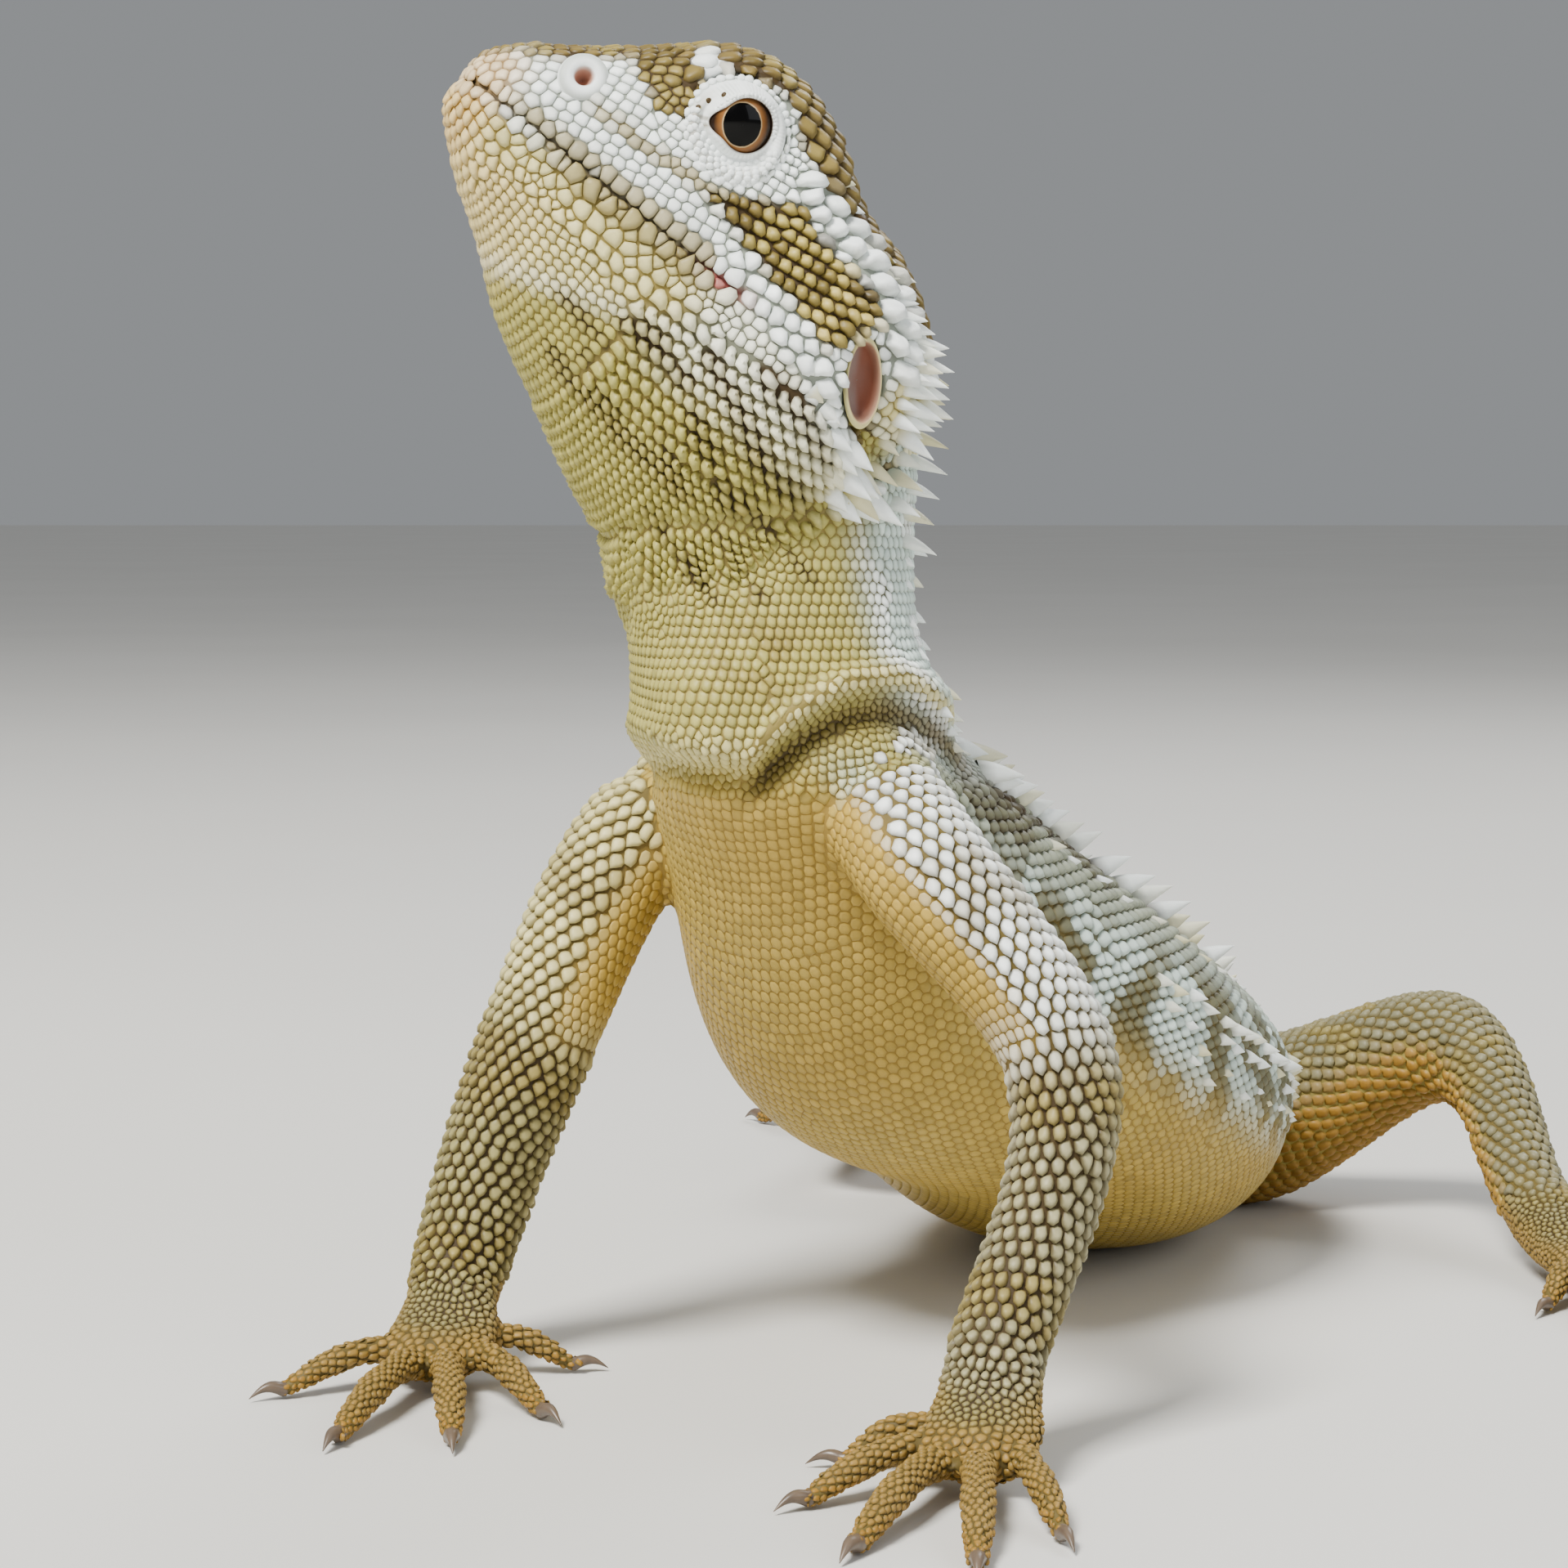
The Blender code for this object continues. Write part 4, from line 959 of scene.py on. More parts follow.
class Nodes:
    """The node tree of one finish."""

    def __init__(self, name: str) -> None:
        """Starts a material with its Principled shader."""
        self.material = bpy.data.materials.new(name)
        self.material.use_nodes = True
        self.tree = self.material.node_tree
        self.shader = self.tree.nodes["Principled BSDF"]

    def add(self, kind: str, settings: dict[str, Any], inputs: dict[Any, Any], output: Any = 0) -> Link:
        """Adds a node.

        Args:
            kind: The node's type.
            settings: Its properties, where ramp holds the stops of a colour ramp.
            inputs: Values or links for its sockets.
            output: Which output to return.

        Returns:
            The output, wrapped.
        """
        node = self.tree.nodes.new(kind)
        for name, value in settings.items():
            if name == "ramp":
                self.stops(node.color_ramp, value)
            else:
                setattr(node, name, value)
        for key, value in inputs.items():
            self.feed(node.inputs[key], value)
        return Link(self, node.outputs[output])

    @staticmethod
    def stops(ramp: bpy.types.ColorRamp, stops: tuple) -> None:
        """Sets the stops of a colour ramp."""
        while len(ramp.elements) < len(stops):
            ramp.elements.new(1.0)
        for element, (position, colour) in zip(ramp.elements, stops):
            element.position = position
            element.color = (*colour, 1.0)

    def feed(self, socket: bpy.types.NodeSocket, value: Any) -> None:
        """Links or sets one socket."""
        if isinstance(value, Link):
            self.tree.links.new(value.socket, socket)
        elif isinstance(value, tuple) and len(value) == 3 and socket.type == "RGBA":
            socket.default_value = (*value, 1.0)
        else:
            socket.default_value = value

    def blend(self, share: Any, first: Any, second: Any, mode: str = "MIX") -> Link:
        """Mixes two colours by a share."""
        settings = {"data_type": "RGBA", "blend_type": mode}
        return self.add("ShaderNodeMix", settings, {0: share, 6: first, 7: second}, 2)

    def noise(self, scale: float, detail: float = 3.0) -> Link:
        """Noise over the object's own coordinates."""
        spot = self.add("ShaderNodeTexCoord", {}, {}, "Object")
        return self.add("ShaderNodeTexNoise", {}, {"Vector": spot, "Scale": scale, "Detail": detail})

    def attribute(self, name: str, output: Any = "Color") -> Link:
        """An attribute of the piece."""
        return self.add("ShaderNodeAttribute", {"attribute_name": name}, {}, output)

    def bump(self, height: Link, strength: float, distance: float) -> None:
        """Roughens the shading by a height."""
        made = self.add("ShaderNodeBump", {}, {"Strength": strength, "Distance": distance, "Height": height})
        self.feed(self.shader.inputs["Normal"], made)

    def shade(self, **inputs: Any) -> bpy.types.Material:
        """Feeds the shader's sockets and returns the material."""
        for name, value in inputs.items():
            self.feed(self.shader.inputs[name.replace("_", " ")], value)
        return self.material


@dataclass(frozen=True)
class Hide:
    """Dry scaly skin: the piece's own tint, mottled, with fine grain and a slight uneven gloss."""

    name: str
    roughness: float
    grain: float
    mottle: float = 0.16

    def make(self) -> bpy.types.Material:
        """Builds the material."""
        nodes = Nodes(self.name)
        coarse, fine = nodes.noise(700.0), nodes.noise(3200.0, 2.0)
        shade = nodes.add("ShaderNodeCombineColor", {}, {
            key: 1.0 - self.mottle * 0.5 + coarse * self.mottle for key in ("Red", "Green", "Blue")
        })
        colour = nodes.blend(1.0, nodes.attribute("tint"), shade, "MULTIPLY")
        nodes.bump(fine, self.grain, 0.0001)
        gloss = self.roughness - 0.08 + coarse * 0.16
        return nodes.shade(Base_Color=colour, Roughness=gloss, Specular_IOR_Level=0.22)


@dataclass(frozen=True)
class Horn:
    """Dark, smooth horn of the claws, paler where it is thin."""

    name: str = "claw_horn"

    def make(self) -> bpy.types.Material:
        """Builds the material."""
        nodes = Nodes(self.name)
        streak = nodes.noise(900.0)
        colour = nodes.blend(streak, HUES.claw, HUES.horn)
        nodes.bump(streak, 0.25, 0.0001)
        return nodes.shade(Base_Color=colour, Roughness=0.35)


@dataclass(frozen=True)
class EyeGloss:
    """Wet eye: black pupil, thin pale ring, orange-brown iris and dark rim, by distance from its axis."""

    name: str = "eye_gloss"
    pupil: float = 0.485
    iris: float = 0.64

    def make(self) -> bpy.types.Material:
        """Builds the material."""
        nodes = Nodes(self.name)
        away = nodes.attribute("gaze", "Fac")
        flecks = nodes.noise(2600.0)
        stops = (
            (0.0, HUES.pupil), (self.pupil, HUES.pupil), (self.pupil + 0.014, HUES.pupil_ring),
            (self.pupil + 0.045, HUES.iris), (self.iris, HUES.iris_edge), (self.iris + 0.07, HUES.eye_rim),
        )
        rings = nodes.add("ShaderNodeValToRGB", {"ramp": stops}, {"Fac": away + (flecks - 0.5) * 0.03})
        return nodes.shade(Base_Color=rings, Roughness=0.25, Specular_IOR_Level=0.04, Coat_Weight=0.8,
                           Coat_Roughness=0.012, Coat_IOR=1.22)


@dataclass(frozen=True)
class Matt:
    """Plain pale studio floor, with a trace of unevenness."""

    name: str = "studio_floor"
    dark: Colour = (0.60, 0.59, 0.56)
    light: Colour = (0.66, 0.65, 0.62)

    def make(self) -> bpy.types.Material:
        """Builds the material."""
        nodes = Nodes(self.name)
        return nodes.shade(Base_Color=nodes.blend(nodes.noise(6.0), self.dark, self.light), Roughness=0.85)


@dataclass
class Feet:
    """Palms, digits and claws."""

    feet: dict = field(default_factory=lambda: {
        Region.LEFT_ARM: ((16.3, -21.5, 8.0), (14.6, -29.0, 2.7), (3.7, 4.9, 2.2), (
            ((11.6, -22.0, 3.6), (-1.0, 0.12), 7.0, 1.25), ((11.4, -25.5, 3.0), (-0.85, -0.55), 11.5, 1.35),
            ((12.0, -28.5, 2.8), (-0.42, -0.9), 16.0, 1.45), ((14.8, -29.5, 2.8), (-0.06, -1.0), 17.0, 1.45),
            ((17.8, -27.5, 3.0), (0.2, -1.0), 13.0, 1.3))),
        Region.RIGHT_ARM: ((-28.9, 9.9, 6.6), (-29.8, 1.5, 2.7), (3.8, 4.9, 2.2), (
            ((-26.2, 7.0, 3.4), (1.0, 0.15), 8.0, 1.25), ((-26.4, 3.0, 3.0), (0.55, -0.85), 12.0, 1.35),
            ((-28.6, 1.0, 2.8), (0.12, -1.0), 16.0, 1.45), ((-31.4, 1.0, 2.8), (-0.28, -0.96), 16.0, 1.45),
            ((-33.0, 4.5, 3.0), (-0.88, -0.45), 10.5, 1.3))),
        Region.LEFT_LEG: ((74.7, 46.5, 5.2), (78.5, 33.0, 2.6), (3.6, 4.6, 2.3), (
            ((75.5, 36.5, 2.9), (-0.55, -0.85), 8.0, 1.3), ((76.5, 33.5, 2.8), (-0.2, -1.0), 13.0, 1.4),
            ((78.5, 32.5, 2.8), (0.12, -1.0), 19.0, 1.5), ((80.6, 33.5, 2.8), (0.42, -0.9), 23.0, 1.5),
            ((81.5, 38.0, 2.9), (0.9, -0.4), 14.0, 1.4))),
        Region.RIGHT_LEG: ((9.5, 108.5, 5.0), (8.4, 121.5, 2.6), (3.6, 4.6, 2.3), (
            ((11.4, 118.5, 2.9), (0.55, 0.85), 8.0, 1.3), ((10.4, 121.0, 2.8), (0.28, 1.0), 13.0, 1.4),
            ((8.4, 122.0, 2.8), (0.04, 1.0), 18.0, 1.5), ((6.6, 121.0, 2.8), (-0.2, 0.98), 21.0, 1.5),
            ((5.5, 116.5, 2.9), (-0.7, 0.75), 12.0, 1.4))),
    })
    digit_low: float = 0.6
    arch: float = 1.3
    claw_length: float = 3.0
    claw_tip: float = 0.35
    sides: int = 16
    sink: float = 0.22
    digit_rings: int = 26
    claw_rings: int = 12
    palm_rings: int = 12
    palm_columns: int = 32
    palm_power: Pair = (2.1, 2.1)

    def centre(self, root: Array, ahead: Array, thick: float, length: float, share: Array) -> Array:
        """The middle line of a digit: from its root to the floor, arched by a sine, then down the claw."""
        low = thick * self.digit_low
        clamp = np.clip(share, 0, 1)
        high = root[2] * (1 - clamp) + low * clamp + self.arch * np.sin(math.pi * clamp) * (1 - 0.4 * clamp)
        claw = np.clip((share - 1) * length / self.claw_length, 0, 1)
        drop = low + (self.claw_tip - low) * claw**1.6 + 0.5 * np.sin(math.pi * claw)
        high = np.where(share > 1, drop, high)
        return root * [1, 1, 0] + ahead * (share * length)[:, None] + high[:, None] * [0, 0, 1]

    def around(self, values: tuple, share: Array, width: Array, turn: Array) -> Array:
        """Points round a digit's middle line, at each share, radius and turn."""
        root, heading, length, thick = values
        ahead = unit([heading[0], heading[1], 0.0])
        aside = np.array([-ahead[1], ahead[0], 0.0])
        line = self.centre(np.array(root, float), ahead, thick, length, share)
        return line + width[:, None] * (np.cos(turn)[:, None] * aside + np.sin(turn)[:, None] * [0, 0, 1])

    def tube(self, values: tuple, shares: Array, widths: Array) -> Array:
        """Rings of points round a digit's middle line, each a circle of the given radius."""
        turn = np.tile(turns(self.sides), len(shares))
        points = self.around(values, np.repeat(shares, self.sides), np.repeat(widths, self.sides), turn)
        return points.reshape(len(shares), self.sides, 3)

    def girth(self, values: tuple, shares: Array) -> Array:
        """Radius of the flesh along a digit: it swells at the joints and narrows to the claw."""
        swell = 0.95 + 0.12 * hump(shares, 0.12, 0.12) + 0.13 * hump(shares, 0.55, 0.1)
        return values[3] * swell * (1 - 0.25 * step(0.75, 1.02, shares)) - self.sink

    def skin(self, values: tuple, at: Array, turn: Array) -> Array:
        """Points of a digit's surface at each distance along it and turn."""
        share = np.asarray(at, float) / values[2]
        return self.around(values, share, self.girth(values, share), np.asarray(turn, float))

    def digits(self, region: Region) -> list[Array]:
        """The fleshy part of each digit."""
        shares = np.linspace(-0.18, 1.04, self.digit_rings)
        return [self.tube(values, shares, self.girth(values, shares)) for values in self.feet[region][3]]

    def claws(self, region: Region) -> list[Array]:
        """Each claw, narrowing to a point as 1 minus its share to the power of 1.4."""
        made = []
        t = np.linspace(0, 1, self.claw_rings)
        for values in self.feet[region][3]:
            _, _, length, thick = values
            shares = 1 + (t * 1.06 - 0.06) * self.claw_length / length
            made.append(self.tube(values, shares, thick * 0.50 * (1 - 0.94 * t**1.4)))
        return made

    def palm(self, region: Region, rail: Rail) -> Array:
        """The palm: sections that turn from the limb's end into a flat pad."""
        wrist, toes, (across, wide, low), _ = self.feet[region]
        wrist, toes = np.array(wrist, float), np.array(toes, float)
        start = rail.knots[3] - 1.5
        centre, _, up, left = (v[0] for v in rail.axes(start))
        ahead = unit((toes - wrist) * [1, 1, 0])
        aside = np.array([-ahead[1], ahead[0], 0.0])
        aside = aside * np.sign(aside @ left)
        rings = []
        for share in np.linspace(0, 1, self.palm_rings):
            mix = min(1.0, share * 1.6)
            middle = centre * (1 - share) + toes * share - [0, 0, 0.6 * math.sin(math.pi * share)]
            half = across * (1 - mix) + wide * mix * (1 - 0.25 * max(0, share - 0.7) / 0.3) - self.sink
            high = rail.sizes[3, 1] * (1 - mix) + low * mix - self.sink
            out, rise = oval(turns(self.palm_columns), half, high, high, self.palm_power)
            lift = unit(up * (1 - mix) + np.array([0, 0, 1.0]) * mix)
            side = unit(left * (1 - mix) + aside * mix)
            rings.append(middle + np.outer(out, side) + np.outer(rise, lift))
        return np.array(rings)


@dataclass
class Skin:
    """The one skin of the whole animal, made of all its lengths grown into one surface."""

    shape: Frame
    feet: Feet
    voxel: float = 0.60
    depth: float = 0.35
    rounds: int = 5
    joint_rounds: int = 14
    joint_reach: float = 9.0
    socket: float = 2.7
    ear_depth: float = 2.3
    body_grid: tuple = (330, 96)
    head_grid: tuple = (110, 128)
    limb_grid: tuple = (90, 48)

    def solids(self) -> list[Array]:
        """Grids of every length, before they grow together."""
        shape, sink = self.shape, -self.depth
        body = shape.body
        rows, columns = self.head_grid
        places = np.linspace(shape.head_stations[0][0], shape.head_stations[-1][0], rows)
        local = shape.head_surface(np.repeat(places, columns), np.tile(turns(columns), rows), sink)
        made = [body.grid(body.knots[0], body.knots[-1], *self.body_grid, sink)]
        made.append(shape.from_head(local).reshape(rows, columns, 3))
        for region, rail in shape.limbs.items():
            made.append(rail.grid(rail.knots[0], rail.knots[3], *self.limb_grid, sink))
            made.append(self.feet.palm(region, rail))
            made.extend(self.feet.digits(region))
        return made

    def grow(self) -> tuple[Array, Array]:
        """Joins the lengths into one closed surface of even small squares.

        Returns:
            Its points and its four-sided faces.
        """
        points, faces, count = [], [], 0
        for grid in self.solids():
            rings, columns = grid.shape[:2]
            ends = np.stack([grid[0].mean(axis=0), grid[-1].mean(axis=0)])
            block = np.concatenate([grid.reshape(-1, 3), ends])
            faces += [tuple(i + count for i in face) for face in closed_faces(rings, columns)]
            points.append(block)
            count += len(block)
        mesh = bpy.data.meshes.new("lengths")
        mesh.from_pydata(np.concatenate(points).tolist(), [], faces)
        thing = put("lengths", mesh)
        remesh = thing.modifiers.new("grow", "REMESH")
        remesh.mode = "VOXEL"
        remesh.voxel_size = self.voxel
        graph = bpy.context.evaluated_depsgraph_get()
        whole = bpy.data.meshes.new_from_object(thing.evaluated_get(graph))
        bpy.data.objects.remove(thing)
        co = np.empty(len(whole.vertices) * 3, np.float32)
        whole.vertices.foreach_get("co", co)
        corners = np.empty(len(whole.loops), np.int32)
        whole.loops.foreach_get("vertex_index", corners)
        return co.reshape(-1, 3).astype(float), corners.reshape(-1, 4)

    @staticmethod
    def relax(points: Array, faces: Array, weight: Array, rounds: int, back: float = 0.56) -> Array:
        """Smooths by moving each point towards the mean of its neighbours, then part of the way back.

        Args:
            points: The surface's points.
            faces: Its faces.
            weight: How strongly each point takes part.
            rounds: How many times.
            back: How much of each move is taken back.

        Returns:
            The smoothed points.
        """
        edges = np.concatenate([faces[:, [0, 1]], faces[:, [1, 2]], faces[:, [2, 3]], faces[:, [3, 0]]])
        first, second = edges.T
        count = np.maximum(np.bincount(first, minlength=len(points)), 1)[:, None]
        for _ in range(rounds):
            for pull in (0.6, -back):
                sums = [np.bincount(first, points[second, k], len(points)) for k in range(3)]
                mean = np.stack(sums, 1) / count
                points = points + (mean - points) * weight[:, None] * pull
        return points

    @staticmethod
    def normals(points: Array, faces: Array) -> Array:
        """The outward way at each point, as the mean over its faces."""
        a, b, c, d = (points[faces[:, k]] for k in range(4))
        ways = np.cross(c - a, d - b)
        sums = np.zeros_like(points)
        for k in range(4):
            for axis in range(3):
                sums[:, axis] += np.bincount(faces[:, k], ways[:, axis], len(points))
        return unit(sums)

    def carve(self, points: Array, normals: Array) -> Array:
        """Presses in eye sockets, nostrils, ears and the mouth, and raises the folds of the neck.

        Each is a smooth step or bell of the distance from its middle, times its depth.

        Args:
            points: The surface's points.
            normals: Their outward ways.

        Returns:
            The carved points.
        """
        shape = self.shape
        local = shape.to_head(points)
        f, out, u = local.T
        close = np.abs(shape.head_reach(local) - 1) < 0.5
        eye = np.hypot(f - shape.eye[0], u - shape.eye[2])
        inward = np.where(close & (np.abs(out) > 3), step(4.2, 2.7, eye) * self.socket, 0.0)
        nose = np.hypot(f - shape.nostril[0], u - shape.nostril[1])
        inward += np.where(close & (np.abs(out) > 1.5), step(1.35, 0.6, nose) * 1.5, 0.0)
        x, y = shape.ear_axes(f, u)
        ear = step(1.25, 0.75, np.hypot(x / 1.45, y / 3.3)) * self.ear_depth
        hollow = 1.1 * hump(trail(f, u, Markings.hollow), 0.0, 1.1) * step(5.0, 8.0, np.abs(out))
        inward += np.where(close & (np.abs(out) > 6), ear, 0) + np.where(close, hollow, 0)
        groove = np.where(close, hump(u, 0.0, 0.42) * step(0.0, 1.2, f) * 0.55, 0.0)
        points = points - shape.head_axes[1] * (np.sign(out) * inward)[:, None]
        points = points + normals * (self.folds(points) - groove)[:, None]
        points[:, 2] = np.maximum(points[:, 2], 0.0)
        return points

    @staticmethod
    def arch(points: Array) -> tuple[Array, Array]:
        """Height above the collar's arch on the left shoulder, a parabola over x, and its share there."""
        x, y, z = points.T
        line = 61.4 - np.where(x < 8, 0.055, 0.10) * (x - 8) ** 2
        share = step(-5.0, -1.0, x) * step(17.0, 14.0, x) * step(13.0, 8.0, y) * step(48.0, 53.0, z)
        return z - line, share

    @staticmethod
    def folds(points: Array) -> Array:
        """Rise of the loose skin: the collar's arch and hollow, the throat's pouch, a ring and pleats."""
        x, y, z = points.T
        neck = step(47.0, 52.0, z) * step(76.0, 70.0, z) * step(26.0, 18.0, np.abs(x)) * step(34.0, 26.0, y)
        line, share = Skin.arch(points)
        arch = share * (0.85 * hump(line, 0.3, 1.15) - 1.7 * hump(line, -2.9, 1.8))
        pouch = np.exp(-((x + 7.4) ** 2 + (y + 9.5) ** 2 + (z - 59.6) ** 2) / 22.0)
        under = np.exp(-((x + 6.5) ** 2 + (y + 9.0) ** 2) / 60.0) * hump(z, 54.0, 1.6)
        level = z - 0.12 * x + 0.8 * ripple(points, 9.0, 41)
        ring = (1 - share) * (0.7 * hump(level, 57.5, 1.5) - 0.7 * hump(level, 54.2, 1.4))
        pleats = 0.16 * np.sin(2.1 * x + 1.2 * ripple(points, 8.0, 42)) * step(60.0, 66.0, z) * (1 - share)
        chin = 0.55 * hump(z + 0.1 * x, 69.6, 2.6) * step(2.0, -5.0, x)
        return neck * (arch + 1.5 * pouch - 0.6 * under + ring + pleats) - chin

    def build(self) -> tuple[Array, Array]:
        """Makes the finished surface.

        Returns:
            Points and faces.
        """
        points, faces = self.grow()
        points = self.relax(points, faces, np.ones(len(points)), self.rounds)
        near = np.zeros(len(points))
        for rail in self.shape.limbs.values():
            gap = np.linalg.norm(points - rail.centres[1], axis=1)
            near = np.maximum(near, step(self.joint_reach + 4, self.joint_reach - 3, gap))
        f, _, u = self.shape.to_head(points).T
        level = np.minimum(np.abs(f + 15.5), np.abs(points[:, 2] - 72.5))
        near = np.maximum(near, step(6.0, 3.0, level) * step(-4.0, -8.0, u) * step(-24.0, -20.0, f))
        points = self.relax(points, faces, near, self.joint_rounds, 0.40)
        return self.carve(points, self.normals(points, faces)), faces


@dataclass
class Field:
    """Roots of scales: where each is, which way it faces, and how wide it is."""

    where: Where
    normals: Array
    sizes: Array


@dataclass
class Scatter:
    """Lays scale roots in staggered rows over the skin, closer where scales are small."""

    shape: Frame
    atlas: Atlas
    feet: Feet
    points: Array
    faces: Array
    where: Where
    rounds: int = 5
    classes: tuple = (0.70, 0.84, 1.0, 1.2, 1.45, 1.75, 2.05)
    loosest: float = 0.74
    recent: int = 400
    samples: int = 600
    round_samples: int = 97
    lip_rows: tuple = (
        (0.82, 2.6, 26.4, 1.38, 0.0), (-1.10, 2.2, 26.2, 1.85, 0.0),
        (-2.75, 1.2, 25.0, 1.60, 0.5), (-4.15, 0.4, 23.0, 1.40, 0.0),
    )

    def __post_init__(self) -> None:
        """Builds the tree that finds the skin's nearest point."""
        self.tree = BVHTree.FromPolygons(self.points.tolist(), self.faces.tolist())

    def size(self, where: Where) -> Array:
        """Width of the scales at each point.

        Args:
            where: The points.

        Returns:
            Widths in millimetres, each one of the classes.
        """
        wide = np.where(where.on(Region.BODY), self.body_size(where), self.limb_size(where))
        wide = np.where(where.on(Region.HEAD), self.head_size(where), wide)
        classes = np.array(self.classes)
        return classes[np.argmin(np.abs(np.log(wide[:, None] / classes[None])), axis=1)]

    @staticmethod
    def body_size(where: Where) -> Array:
        """Width on neck, trunk and tail: less on flanks and belly, on the neck and at the tail's end."""
        body = 1.45 - 0.35 * step(70, 100, where.turn) - 0.12 * step(105, 125, where.turn)
        body = np.where(where.on_neck(), 0.86, body)
        body = body + 0.2 * step(200, 225, where.along) * step(120, 90, where.turn)
        return body * (1 - 0.35 * step(300, 395, where.along))

    @staticmethod
    def limb_size(where: Where) -> Array:
        """Width on arms and legs: less on feet, on digits and on the smooth inner side of the arms."""
        limb = 1.32 - 0.48 * where.foot
        digit = (where.foot > 0.5) & (where.along > 68) & (where.points[:, 2] < 5)
        limb = np.where(digit, 0.72, limb)
        return np.where(Markings.inner(where) > 0.5, 0.98, limb)

    def head_size(self, where: Where) -> Array:
        """Width on the head, by rules of which later ones go over earlier ones."""
        f, out, u = where.head.T
        out = np.abs(out)
        crown, band = patch(f, u, Markings.crown), trail(f, u, Markings.cheek_band)
        eye = np.hypot(f - self.shape.eye[0], u - self.shape.eye[2])
        ear = np.hypot(*[v / w for v, w in zip(self.shape.ear_axes(f, u), (2.6, 4.6))])
        rules = (
            (u > -2.0, 0.98), (crown < 0, 1.72), ((crown < 0) & (f > 15), 1.30),
            (patch(f, u, Markings.temple) < 0.4, 1.20), (trail(f, u, Markings.stripe) < 1.5, 2.05),
            (band < 1.4, 1.45), ((u < -3.0) & (u > -13.0) & (f < 7.0) & (band > 1.4), 1.18),
            ((u < -1.0) & (u > -9.0 + 0.35 * f) & (f > 5.0), 1.15), ((u < 4.6) & (f > 21.5), 1.2),
            ((eye < 6.4) & (out > 4) & (crown > 0), 0.84), ((ear < 1) & (out > 6), 0.84),
        )
        head = np.full(len(f), 0.85)
        for mask, width in rules:
            head[mask] = width
        return head

    def rows(self) -> tuple[Array, Array]:
        """Fixed roots of the large scales along both lips.

        Each row runs at an even spacing along the side of the head, at one height from the mouth line.

        Returns:
            Places and widths.
        """
        made, wide = [], []
        for height, first, last, space, offset in self.lip_rows:
            count = int((last - first) / space)
            place = first + (np.arange(count) + offset) * space
            shrink = 1 - 0.32 * step(15.0, 26.0, place)
            for side in (1, -1):
                made.append(self.shape.side_points(place, height * shrink, side))
                wide.append(space * np.minimum(shrink, 1.0))
        return self.shape.from_head(np.concatenate(made)), np.concatenate(wide)

    def lengths(self) -> list[tuple[Region, Callable, float, float, float, float]]:
        """For every length: region, surface, start, stop and the turns between which scales are laid."""
        shape = self.shape
        made = [(Region.HEAD, self.skull, 0.9, 45.0, 0.0, math.pi)]
        for low, high in ((0, 50), (50, 112), (112, 180)):
            band = math.radians(low), math.radians(high)
            made.append((Region.BODY, shape.body.surface, 0.0, shape.body.knots[-1], *band))
        for region, rail in shape.limbs.items():
            for low, high in ((0, 90), (90, 180)):
                made.append((region, rail.surface, 0.0, rail.knots[3], math.radians(low), math.radians(high)))
            for values in self.feet.feet[region][3]:
                toe = partial(self.feet.skin, values)
                made.append((region, toe, -0.18 * values[2], 1.02 * values[2], 0.0, math.pi))
        return made

    def skull(self, at: Array, turn: Array) -> Array:
        """Points of the head at each distance back from the snout and turn from the crown."""
        return self.shape.from_head(self.shape.head_surface(self.shape.snout_tip - at, turn))

    def lattice(self, surface: Callable, start: float, stop: float, focus: float, size: float) -> Array:
        """Staggered rows of points round a length.

        Along the line at the focus, rows are the width times half the root of 3 apart and a little more,
        most of all for small scales, which are longer than wide. Every other row is turned by half a step.
        The count in a row stays the same until the way round has changed by a tenth.

        Args:
            surface: Gives points from distances and turns.
            start: Where the rows start.
            stop: Where they stop.
            focus: Turn of the line that their spacing is measured along.
            size: Width of the scales.

        Returns:
            The points.
        """
        stretch = 1.26 if size < 1.1 else 1.08
        fine = np.linspace(start, stop, self.samples)
        way = lengths_along(surface(fine, np.full(self.samples, focus)))
        rows = np.interp(np.arange(0, way[-1], size * ROW_GAP * stretch), way, fine)
        many = self.round_samples
        turn = np.linspace(0, 2 * math.pi, many)
        ring = surface(np.repeat(rows, many), np.tile(turn, len(rows))).reshape(len(rows), many, 3)
        arc = np.cumsum(np.linalg.norm(np.diff(ring, axis=1), axis=2), axis=1)
        arc = np.concatenate([np.zeros((len(rows), 1)), arc], axis=1)
        count, made = 0, []
        for index, row in enumerate(rows):
            want = arc[index, -1] / size
            if count == 0 or abs(want / count - 1) > 0.10:
                count = max(3, round(want))
            places = (np.arange(count) + 0.5 * (index % 2)) / count * arc[index, -1]
            made.append(np.stack([np.full(count, row), np.interp(places, arc[index], turn)], 1))
        grid = np.concatenate(made)
        return surface(grid[:, 0], grid[:, 1])

    @staticmethod
    def search(points: Array) -> KDTree:
        """A tree of points to find neighbours in."""
        tree = KDTree(len(points))
        for index, point in enumerate(points):
            tree.insert(point, index)
        tree.balance()
        return tree

    def thin(self, points: Array, sizes: Array) -> Array:
        """Which points to keep so that none is much nearer to an earlier one than its width."""
        tree = self.search(points)
        kept = np.ones(len(points), bool)
        for index, point in enumerate(points):
            for _, other, gap in tree.find_range(point, 0.5 * (sizes[index] + self.classes[-1]) * 0.66):
                if other < index and kept[other] and gap < 0.33 * (sizes[index] + sizes[other]):
                    kept[index] = False
                    break
        return kept

